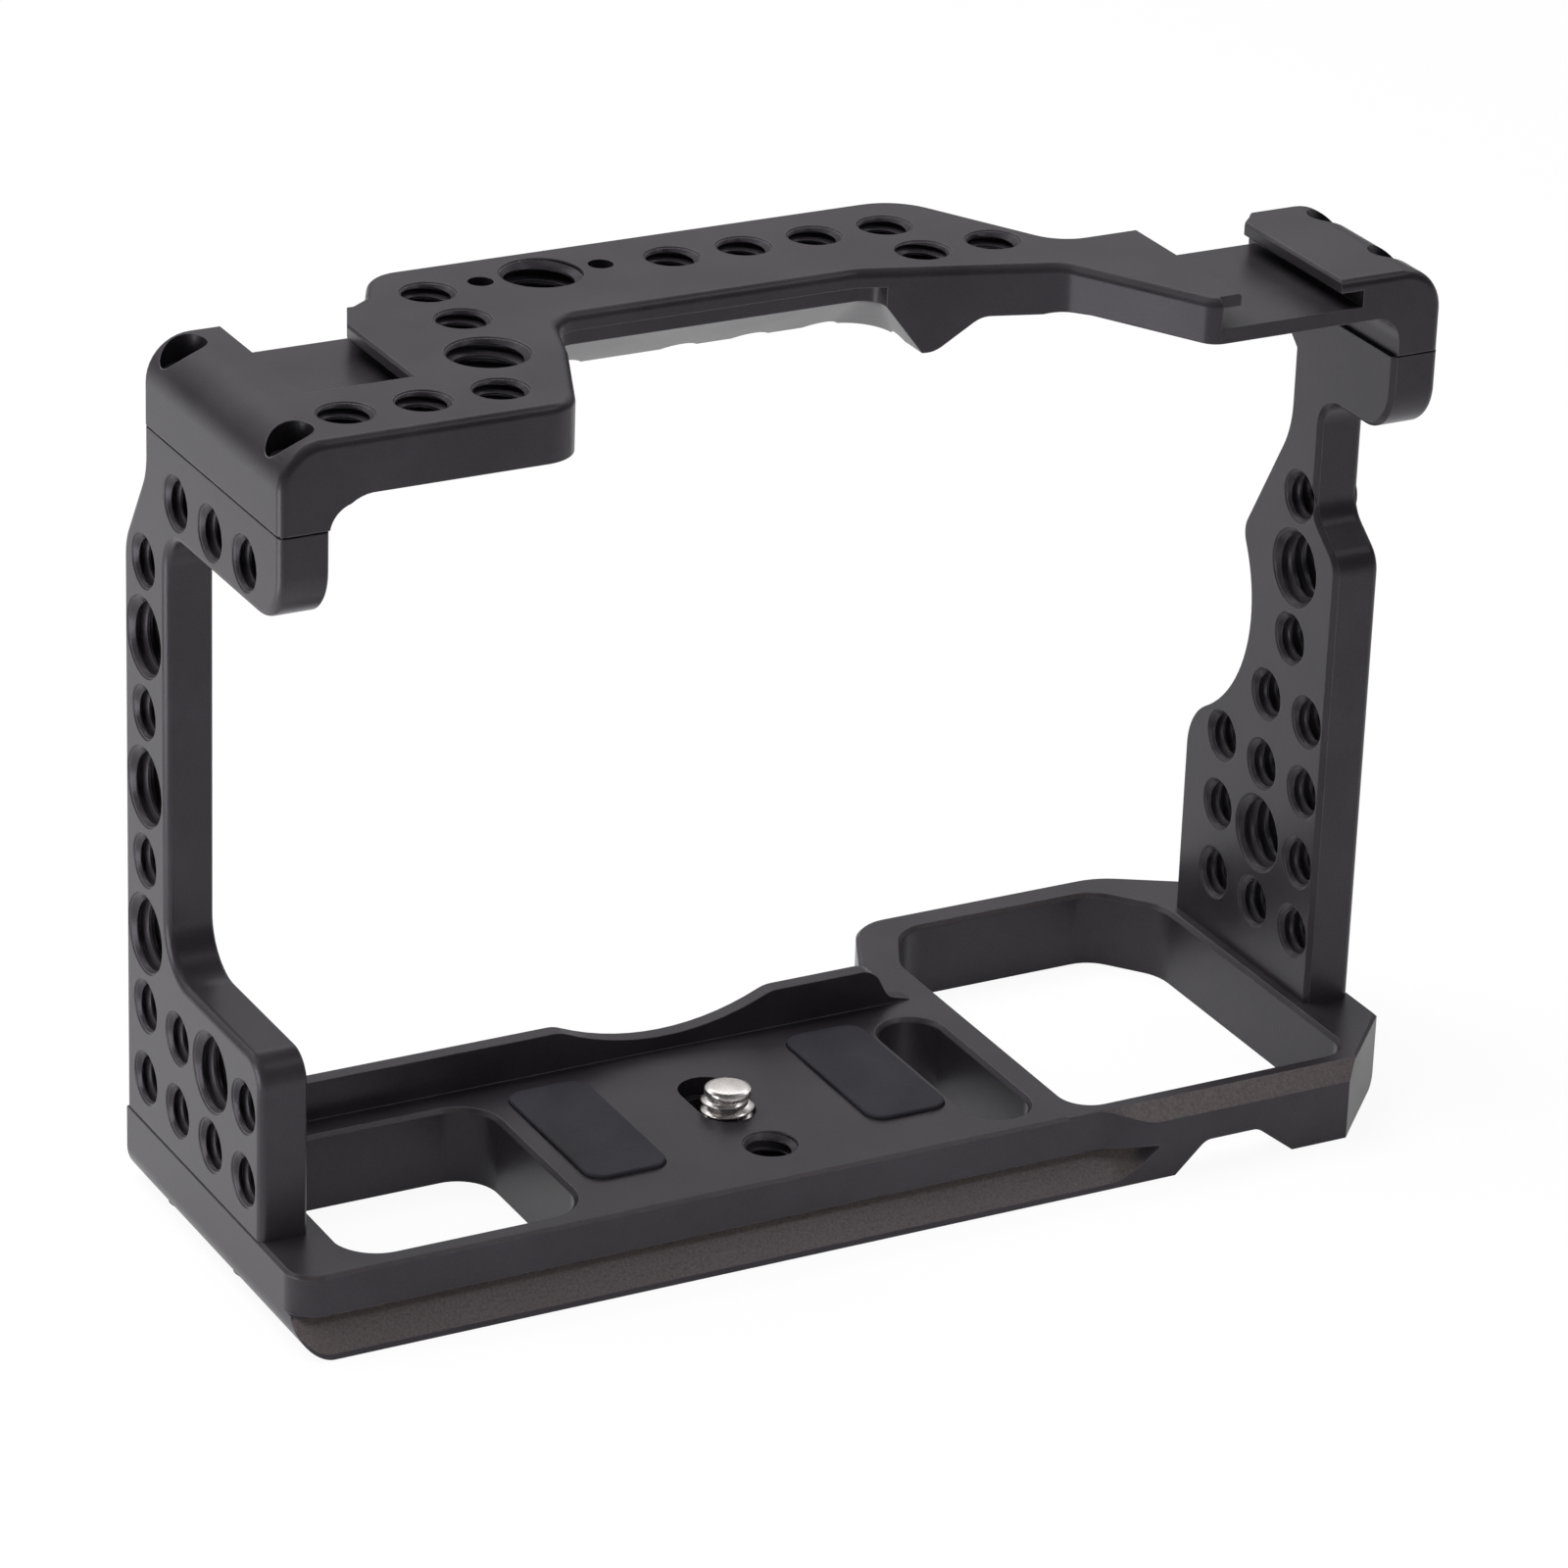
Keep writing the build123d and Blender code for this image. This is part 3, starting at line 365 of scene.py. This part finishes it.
def keepPiece(name, mesh, slotName, body="cage", stands=()):
    piece = bpy.data.objects.new(name, mesh)
    bpy.context.scene.collection.objects.link(piece)
    mesh.materials.append(finishes[slotName])
    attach(piece, body)
    if stands:
        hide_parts(*stands)
    return piece


# thread ridges for the tapped holes
sideways, upwards = Vector((1, 0, 0)), Vector((0, 0, 1))
threadForms = {"quarter": {"major": 3.175, "pitch": 1.27}, "threeEight": {"major": 4.765, "pitch": 1.5875}}
ridge = {"steps": 40, "sink": 0.03, "mouth": 0.15, "crest": 0.2, "root": 0.86, "depth": 0.5413,
         "least": 0.03, "clear": 0.01, "sharp": 40}


def addRidge(mesh, centre, along, low, high, form, lowMouth=True):
    # a closed helical ridge inside a hole, cut back by a 45 degree countersink where the hole opens
    major, pitch = form["major"], form["pitch"]
    inner = major - ridge["depth"] * pitch
    side = sideways if along == upwards else upwards
    across = along.cross(side)
    middleRadius, middleOffset = (major + inner) / 2, (ridge["root"] + ridge["crest"]) / 4
    section = ((major + ridge["sink"], -ridge["root"] / 2), (middleRadius, -middleOffset),
               (inner, -ridge["crest"] / 2), (inner, ridge["crest"] / 2),
               (middleRadius, middleOffset), (major + ridge["sink"], ridge["root"] / 2))
    reach = ridge["root"] / 2 * pitch
    start, stop = low + ridge["mouth"], high - ridge["mouth"]
    first, last = start - reach, stop + reach
    count = int((last - first) / pitch * ridge["steps"])
    loops = []
    for i in range(count + 1):
        angle = 2 * math.pi * i / ridge["steps"]
        middle = first + pitch * i / ridge["steps"]
        radial = side * math.cos(angle) + across * math.sin(angle)
        heights = [min(max(middle + offset * pitch, start), stop) for _, offset in section]
        if heights[-1] - heights[0] < ridge["least"]:
            continue
        loop = []
        for (radius, _), height in zip(section, heights):
            radius = max(radius, major + ridge["clear"] - (stop - height))
            if lowMouth:
                radius = max(radius, major + ridge["clear"] - (height - start))
            loop.append(mesh.verts.new(centre + (radial * radius + along * height) * mm))
        loops.append(loop)
    size = len(section)
    for loop, after in zip(loops, loops[1:]):
        for k in range(size):
            mesh.faces.new((loop[k], loop[(k + 1) % size], after[(k + 1) % size], after[k]))
    mesh.faces.new(loops[0][::-1])
    mesh.faces.new(loops[-1])


def threadPiece(name, holes):
    build = bmesh.new()
    for centre, along, low, high, form in holes:
        addRidge(build, centre, along, low, high, threadForms[form], lowMouth=along == sideways)
    bmesh.ops.recalc_face_normals(build, faces=build.faces)
    mesh = bpy.data.meshes.new(name)
    build.to_mesh(mesh)
    build.free()
    mesh.set_sharp_from_angle(angle=math.radians(ridge["sharp"]))
    return keepPiece(name, mesh, "black_anodised")


# where the accessory holes sit, in mm: columns towards the lens side, rows one pitch apart upwards
holePitch = 9.15
plates = {"left": {"x": 0.0, "thick": 5.8}, "right": {"x": 139.2, "thick": 6.2}, "topFace": 96.6,
          "base": (-9.5, 0.0)}

leftCols, leftRows = (14.6, 23.8, 33.1, 42.25), [5.8 + holePitch * i for i in range(8)]
leftQuarter = [(leftCols[3], leftRows[i]) for i in (0, 1, 3, 5, 7)]
leftQuarter += [(leftCols[i], leftRows[0]) for i in (0, 1, 2)] + [(leftCols[i], leftRows[1]) for i in (0, 2)]
leftQuarter += [(leftCols[i], 80.1) for i in (0, 1, 2)]
leftLarge = [(leftCols[3], leftRows[i]) for i in (2, 4, 6)] + [(leftCols[1], leftRows[1])]
left = plates["left"]
leftHoles = [(at(left["x"], y, z), sideways, 0.0, left["thick"], "quarter") for y, z in leftQuarter]
leftHoles += [(at(left["x"], y, z), sideways, 0.0, left["thick"], "threeEight") for y, z in leftLarge]
threadPiece("leftThreads", leftHoles)

rightCols, rightRows = (18.45, 27.6, 36.75), [8.1 + holePitch * i for i in range(4)]
rightQuarter = [(y, rightRows[0]) for y in rightCols]
rightQuarter += [(rightCols[0], rightRows[1]), (rightCols[2], rightRows[1])]
rightQuarter += [(y, rightRows[2]) for y in rightCols]
rightQuarter += [(rightCols[0], rightRows[3]), (rightCols[1], rightRows[3])]
rightQuarter += [(23.3, 44.5), (23.3, 62.7)]
rightLarge = [(rightCols[1], rightRows[1]), (23.3, 53.6)]
right = plates["right"]
rightHoles = [(at(right["x"], y, z), sideways, 0.0, right["thick"], "quarter") for y, z in rightQuarter]
rightHoles += [(at(right["x"], y, z), sideways, 0.0, right["thick"], "threeEight") for y, z in rightLarge]
threadPiece("rightThreads", rightHoles)

# each top hole with the height its wall starts at
topQuarter = [(10.7, 12.2, 90.1), (19.85, 12.2, 90.1), (29.0, 12.2, 90.1), (34.5, 42.4, 90.1),
              (34.5, 33.3, 90.1)]
topQuarter += [(65.0 + holePitch * i, 42.4, 87.5) for i in range(4)]
topQuarter += [(92.45, 33.3, 90.3), (101.6, 33.3, 91.2)]
topLarge = [(32.5, 22.7, 90.1), (48.9, 43.2, 88.0)]
topHoles = [(at(x, y, 0), upwards, low, plates["topFace"], "quarter") for x, y, low in topQuarter]
topHoles += [(at(x, y, 0), upwards, low, plates["topFace"], "threeEight") for x, y, low in topLarge]
threadPiece("topThreads", topHoles)
threadPiece("baseThreads", [(at(63.3, 8.4, 0), upwards, *plates["base"], "quarter")])
print("threads cut:", len(leftHoles) + len(rightHoles) + len(topHoles) + 1)


# rubber pads, a little proud of the floor
padLook = {"width": 10.3, "length": 23.4, "corner": 2.3, "low": -0.4, "high": 0.5, "edge": 0.3, "arc": 10,
           "foot": 0.12, "edgeSteps": 6, "domeInset": 0.5, "domeDip": 0.004,
           "places": {"grip_pad_left": (45.4, 19.8), "grip_pad_right": (81.8, 19.8)}}


def roundedLoop(width, length, corner, steps):
    # outline of a rectangle with round corners, counter-clockwise
    points = []
    for quarter, (sx, sy) in enumerate(((1, 1), (-1, 1), (-1, -1), (1, -1))):
        for i in range(steps + 1):
            angle = math.pi / 2 * (quarter + i / steps)
            points.append((sx * (width / 2 - corner) + corner * math.cos(angle),
                           sy * (length / 2 - corner) + corner * math.sin(angle)))
    return points


def makePad(node):
    x, y = padLook["places"][node]
    edge = padLook["edge"]
    rings = [(padLook["foot"], padLook["low"]), (0.0, padLook["low"] + padLook["foot"])]
    for i in range(padLook["edgeSteps"] + 1):
        angle = math.pi / 2 * i / padLook["edgeSteps"]
        rings.append((edge * (1 - math.cos(angle)), padLook["high"] - edge * (1 - math.sin(angle))))
    rings += [(edge + padLook["domeInset"], padLook["high"] - padLook["domeDip"])]
    build = bmesh.new()
    loops = []
    for inset, height in rings:
        outline = roundedLoop(padLook["width"] - 2 * inset, padLook["length"] - 2 * inset,
                              padLook["corner"] - inset, padLook["arc"])
        loops.append([build.verts.new(at(x + u, y + v, height)) for u, v in outline])
    for loop, after in zip(loops, loops[1:]):
        for k in range(len(loop)):
            build.faces.new((loop[k], loop[(k + 1) % len(loop)], after[(k + 1) % len(loop)], after[k]))
    build.faces.new(loops[0][::-1])
    build.faces.new(loops[-1])
    mesh = bpy.data.meshes.new(node + "Rubber")
    bmesh.ops.recalc_face_normals(build, faces=build.faces)
    build.to_mesh(mesh)
    build.free()
    for face in mesh.polygons:
        face.use_smooth = True
    pad = keepPiece(node + "Rubber", mesh, "grip_rubber", stands=(node,))
    even = pad.modifiers.new("evenNormals", "WEIGHTED_NORMAL")
    even.weight = normalWeight


for node in padLook["places"]:
    makePad(node)
print("pads moulded")


# camera screw: a turned profile, a coin slot and a raised thread
screw = {"x": screwPlace[0], "y": screwPlace[1], "headLow": -9.4, "headHigh": -7.2, "headRadius": 6.1,
         "neckRadius": 2.45, "threadLow": -2.3, "threadHigh": 1.85, "top": 3.05, "dogRadius": 2.8,
         "coreRadius": 2.42, "outerRadius": 3.175, "pitch": 1.27, "coinSlot": 1.8, "coinDepth": 1.3,
         "around": 96, "headEdge": 0.4, "headTopEdge": 0.15, "shoulder": 0.05,
         # steps of the dog point, in from its radius and up from the thread or down from its top
         "waist": ((0.12, 0.2), (0.0, 0.32)), "dome": ((0.0, 0.5), (0.1, 0.28), (0.36, 0.1), (0.8, 0.03)),
         "threadSteps": 64, "threadStart": 0.45, "threadStop": 0.08, "fadeIn": 20, "fadeOut": 12,
         "fadeKeep": 4, "threadRoot": 0.48, "threadCrest": 0.11, "threadTip": 0.05, "threadSink": 0.03,
         "sharp": 30, "threadSharp": 50}


def makeScrew():
    s = screw
    profile = [(0, s["headLow"]), (s["headRadius"] - s["headEdge"], s["headLow"]),
               (s["headRadius"], s["headLow"] + s["headEdge"]),
               (s["headRadius"], s["headHigh"] - s["headTopEdge"]),
               (s["headRadius"] - s["headTopEdge"], s["headHigh"]), (s["neckRadius"], s["headHigh"]),
               (s["neckRadius"], s["threadLow"] - s["shoulder"]), (s["coreRadius"], s["threadLow"]),
               (s["coreRadius"], s["threadHigh"] + s["shoulder"])]
    profile += [(s["dogRadius"] - inset, s["threadHigh"] + up) for inset, up in s["waist"]]
    profile += [(s["dogRadius"] - inset, s["top"] - down) for inset, down in s["dome"]]
    profile += [(0, s["top"])]
    build = bmesh.new()
    rings = []
    for radius, height in profile:
        if radius == 0:
            rings.append([build.verts.new(at(s["x"], s["y"], height))])
            continue
        rings.append([build.verts.new(at(s["x"] + radius * math.cos(2 * math.pi * k / s["around"]),
                                         s["y"] + radius * math.sin(2 * math.pi * k / s["around"]), height))
                      for k in range(s["around"])])
    for ring, after in zip(rings, rings[1:]):
        for k in range(s["around"]):
            n = (k + 1) % s["around"]
            if len(ring) == 1:
                build.faces.new((ring[0], after[n], after[k]))
            elif len(after) == 1:
                build.faces.new((ring[k], ring[n], after[0]))
            else:
                build.faces.new((ring[k], ring[n], after[n], after[k]))
    bmesh.ops.recalc_face_normals(build, faces=build.faces)
    mesh = bpy.data.meshes.new("cameraScrewSteel")
    build.to_mesh(mesh)
    build.free()
    piece = keepPiece("cameraScrewSteel", mesh, "polished_steel", "camera_screw", ("camera_screw",))
    # coin slot across the head, cut by a bar and applied
    cutter = bpy.data.meshes.new("coinBar")
    bar = bmesh.new()
    barPlace = Matrix.Translation(at(s["x"], s["y"], s["headLow"]))
    barSize = Matrix.Diagonal((3 * s["headRadius"] * mm, s["coinSlot"] * mm, 2 * s["coinDepth"] * mm, 1))
    bmesh.ops.create_cube(bar, size=1.0, matrix=barPlace @ barSize)
    bar.to_mesh(cutter)
    bar.free()
    barObject = bpy.data.objects.new("coinBar", cutter)
    bpy.context.scene.collection.objects.link(barObject)
    cut = piece.modifiers.new("coinSlot", "BOOLEAN")
    cut.object, cut.operation, cut.solver = barObject, "DIFFERENCE", "EXACT"
    bpy.context.view_layer.update()
    done = bpy.data.meshes.new_from_object(piece.evaluated_get(bpy.context.evaluated_depsgraph_get()))
    piece.modifiers.clear()
    piece.data = done
    bpy.data.objects.remove(barObject)
    bpy.data.meshes.remove(cutter)
    done.name = "cameraScrewSteel"
    for face in done.polygons:
        face.use_smooth = True
    done.set_sharp_from_angle(angle=math.radians(s["sharp"]))
    return piece


def makeScrewThread():
    # raised helix round the core, rolled to nothing at both ends
    s = screw
    build = bmesh.new()
    steps = s["threadSteps"]
    first, last = s["threadLow"] + s["threadStart"], s["threadHigh"] - s["threadStop"]
    count = int((last - first) / s["pitch"] * steps)
    sunk, tip = s["coreRadius"] - s["threadSink"], s["threadTip"]
    crest, root = s["threadCrest"], s["threadRoot"]
    loops = []
    for i in range(count + 1):
        angle = 2 * math.pi * i / steps
        fade = min(1.0, (i + s["fadeKeep"]) / s["fadeIn"], (count - i + s["fadeKeep"]) / s["fadeOut"])
        outer = s["coreRadius"] + (s["outerRadius"] - s["coreRadius"]) * fade
        middle = first + s["pitch"] * i / steps
        section = ((sunk, -root), (outer - tip, -crest), (outer, -tip), (outer, tip), (outer - tip, crest),
                   (sunk, root))
        loops.append([build.verts.new(at(s["x"] + radius * math.cos(angle), s["y"] + radius * math.sin(angle),
                                         middle + offset)) for radius, offset in section])
    size = len(loops[0])
    for loop, after in zip(loops, loops[1:]):
        for k in range(size):
            build.faces.new((loop[k], loop[(k + 1) % size], after[(k + 1) % size], after[k]))
    build.faces.new(loops[0][::-1])
    build.faces.new(loops[-1])
    bmesh.ops.recalc_face_normals(build, faces=build.faces)
    mesh = bpy.data.meshes.new("cameraScrewThread")
    build.to_mesh(mesh)
    build.free()
    for face in mesh.polygons:
        face.use_smooth = True
    mesh.set_sharp_from_angle(angle=math.radians(s["threadSharp"]))
    return keepPiece("cameraScrewThread", mesh, "polished_steel", "camera_screw")


makeScrew()
makeScrewThread()
print("camera screw turned")


# floor, lights and room
floorLook = {"size": 6.0, "colour": (0.80, 0.80, 0.80), "lift": 0.93, "glossLift": 0.55,
             "gap": 0.05, "pale": (0.95, 0.95, 0.95), "rough": 0.9, "mottle": 40.0}
lamps = {
    # lights from above without a streak on the rounded edges: those mirror the room only
    "topSoftbox": {"place": (-0.15, 0.25, 0.75), "aim": (0.0, 0.0, 0.05), "size": 0.7, "power": 9.6,
                   "mirrored": False},
    "leftSoftbox": {"place": (-0.19, -0.01, 0.03), "aim": (0.0, 0.0, 0.02), "size": 0.1, "power": 0.13},
    # soft fill off the paper in front: it lights, and isn't mirrored
    "nearCard": {"place": (0.0, -0.15, 0.06), "aim": (0.0, 0.0, 0.0), "size": 0.18, "height": 0.02,
                 "power": 0.06, "mirrored": False},
    "frontSoftbox": {"place": (0.39, -0.35, 0.75), "aim": (0.0, 0.0, 0.05), "size": 0.32, "power": 0.6},
}
room = {"level": 0.125, "wall": 0.59, "wallTop": 0.8, "wallFoot": 0.08, "wallFull": 0.36,
        "wallFade": 0.25, "behindFrom": -0.2, "behindFull": 0.25,
        "strip": 1.6, "stripLow": 0.55, "stripHigh": 0.78, "stripFade": 0.06}


def makeFloor():
    build = bmesh.new()
    bmesh.ops.create_grid(build, x_segments=1, y_segments=1, size=floorLook["size"] / 2)
    mesh = bpy.data.meshes.new("paperFloor")
    build.to_mesh(mesh)
    build.free()
    floor = bpy.data.objects.new("paperFloor", mesh)
    floor.location.z = -floorLook["gap"] * mm
    bpy.context.scene.collection.objects.link(floor)
    material = bpy.data.materials.new("whitePaper")
    material.use_nodes = True
    tree = material.node_tree
    shader = tree.nodes["Principled BSDF"]
    shader.inputs["Roughness"].default_value = floorLook["rough"]
    noise = addNode(tree, "ShaderNodeTexNoise", {"Scale": floorLook["mottle"]})
    tint = addNode(tree, "ShaderNodeMix", links={"Factor": noise.outputs["Fac"]}, data_type="RGBA")
    tint.inputs[6].default_value = (*floorLook["colour"], 1)
    tint.inputs[7].default_value = (*floorLook["pale"], 1)
    tree.links.new(tint.outputs[2], shader.inputs["Base Color"])
    glow = addNode(tree, "ShaderNodeEmission", {"Strength": 1.0})
    rays = addNode(tree, "ShaderNodeLightPath")
    straight = addNode(tree, "ShaderNodeMath",
                       links={0: rays.outputs["Is Camera Ray"], 1: rays.outputs["Is Transmission Ray"]},
                       operation="MAXIMUM")
    seen = addNode(tree, "ShaderNodeMath", {1: floorLook["lift"]}, {0: straight.outputs[0]},
                   operation="MULTIPLY")
    # a glossy surface sees the paper's own light and shadow as well as its white
    glossy = addNode(tree, "ShaderNodeMath", {1: floorLook["glossLift"]}, {0: rays.outputs["Is Glossy Ray"]},
                     operation="MULTIPLY")
    share = addNode(tree, "ShaderNodeMath", links={0: seen.outputs[0], 1: glossy.outputs[0]},
                    operation="MAXIMUM")
    blend = addNode(tree, "ShaderNodeMixShader",
                    links={0: share.outputs[0], 1: shader.outputs[0], 2: glow.outputs[0]})
    # from underneath the paper lets the cage show
    side = addNode(tree, "ShaderNodeNewGeometry")
    clear = addNode(tree, "ShaderNodeBsdfTransparent")
    paper = addNode(tree, "ShaderNodeMixShader",
                    links={0: side.outputs["Backfacing"], 1: blend.outputs[0], 2: clear.outputs[0]})
    tree.links.new(paper.outputs[0], tree.nodes["Material Output"].inputs["Surface"])
    mesh.materials.append(material)


def makeLamps():
    for name, look in lamps.items():
        light = bpy.data.lights.new(name, "AREA")
        light.shape = "ELLIPSE"
        light.size, light.size_y = look["size"], look.get("height", look["size"])
        light.energy = look["power"]
        lamp = bpy.data.objects.new(name, light)
        bpy.context.scene.collection.objects.link(lamp)
        lamp.location = look["place"]
        lamp.visible_glossy = look.get("mirrored", True)
        lamp.rotation_euler = (Vector(look["aim"]) - lamp.location).to_track_quat("-Z", "Y").to_euler()
    world = bpy.data.worlds.new("studio")
    bpy.context.scene.world = world
    world.use_nodes = True
    tree = world.node_tree
    back = tree.nodes["Background"]
    rays = addNode(tree, "ShaderNodeLightPath")
    # the pale wall behind, between its dark foot and about 50 degrees, as glossy surfaces see it
    place = addNode(tree, "ShaderNodeTexCoord")
    split = addNode(tree, "ShaderNodeSeparateXYZ", links={0: place.outputs["Generated"]})
    low = addNode(tree, "ShaderNodeMapRange",
                  {"From Min": room["wallTop"], "From Max": room["wallTop"] - room["wallFade"]},
                  {"Value": split.outputs["Z"]}, interpolation_type="SMOOTHSTEP")
    behind = addNode(tree, "ShaderNodeMapRange",
                     {"From Min": room["behindFrom"], "From Max": room["behindFull"]},
                     {"Value": split.outputs["Y"]}, interpolation_type="SMOOTHSTEP")
    foot = addNode(tree, "ShaderNodeMapRange", {"From Min": room["wallFoot"], "From Max": room["wallFull"]},
                   {"Value": split.outputs["Z"]}, interpolation_type="SMOOTHSTEP")
    band = addNode(tree, "ShaderNodeMath", links={0: low.outputs[0], 1: foot.outputs[0]},
                   operation="MULTIPLY")
    wall = addNode(tree, "ShaderNodeMath", links={0: band.outputs[0], 1: behind.outputs[0]},
                   operation="MULTIPLY")
    glossyWall = addNode(tree, "ShaderNodeMath", links={0: wall.outputs[0], 1: rays.outputs["Is Glossy Ray"]},
                         operation="MULTIPLY")
    level = addNode(tree, "ShaderNodeMapRange", {"To Min": room["level"], "To Max": room["wall"]},
                    {"Value": glossyWall.outputs[0]})
    # a long strip lamp high along that wall, which draws the lines on the rounded edges
    stripUp = addNode(tree, "ShaderNodeMapRange",
                      {"From Min": room["stripLow"], "From Max": room["stripLow"] + room["stripFade"]},
                      {"Value": split.outputs["Z"]}, interpolation_type="SMOOTHSTEP")
    stripDown = addNode(tree, "ShaderNodeMapRange",
                        {"From Min": room["stripHigh"], "From Max": room["stripHigh"] - room["stripFade"]},
                        {"Value": split.outputs["Z"]}, interpolation_type="SMOOTHSTEP")
    strip = addNode(tree, "ShaderNodeMath", links={0: stripUp.outputs[0], 1: stripDown.outputs[0]},
                    operation="MULTIPLY")
    stripWall = addNode(tree, "ShaderNodeMath", links={0: strip.outputs[0], 1: behind.outputs[0]},
                        operation="MULTIPLY")
    stripSeen = addNode(tree, "ShaderNodeMath",
                        links={0: stripWall.outputs[0], 1: rays.outputs["Is Glossy Ray"]},
                        operation="MULTIPLY")
    glow = addNode(tree, "ShaderNodeMath", {1: room["strip"]}, {0: stripSeen.outputs[0], 2: level.outputs[0]},
                   operation="MULTIPLY_ADD")
    direct = addNode(tree, "ShaderNodeMath",
                     links={0: rays.outputs["Is Camera Ray"], 1: rays.outputs["Is Transmission Ray"]},
                     operation="MAXIMUM")
    strength = addNode(tree, "ShaderNodeMath", links={0: glow.outputs[0], 1: direct.outputs[0]},
                       operation="MAXIMUM")
    back.inputs["Color"].default_value = (1.0, 1.0, 1.0, 1.0)
    tree.links.new(strength.outputs[0], back.inputs["Strength"])


# where the camera stands and the three ways it is turned
cameraLook = {"lens": 158.601, "sensor": 36.0, "near": 0.01, "place": (-0.348713, -0.640103, 0.372657),
              "right": (0.88432068, -0.46569877, 0.03319006), "down": (-0.16419906, -0.37677126, -0.91163704),
              "forward": (0.43705331, 0.80072971, -0.40965392)}


def makeCamera():
    lens = bpy.data.cameras.new("view")
    lens.sensor_width = cameraLook["sensor"]
    lens.lens = cameraLook["lens"]
    lens.clip_start = cameraLook["near"]
    camera = bpy.data.objects.new("view", lens)
    bpy.context.scene.collection.objects.link(camera)
    right, down, forward = (Vector(cameraLook[way]) for way in ("right", "down", "forward"))
    turn = Matrix((right, -down, -forward)).transposed().to_4x4()
    camera.matrix_world = Matrix.Translation(cameraLook["place"]) @ turn
    bpy.context.scene.camera = camera


makeFloor()
makeLamps()
makeCamera()
bpy.context.scene.view_settings.view_transform = "Standard"
print("stage set")
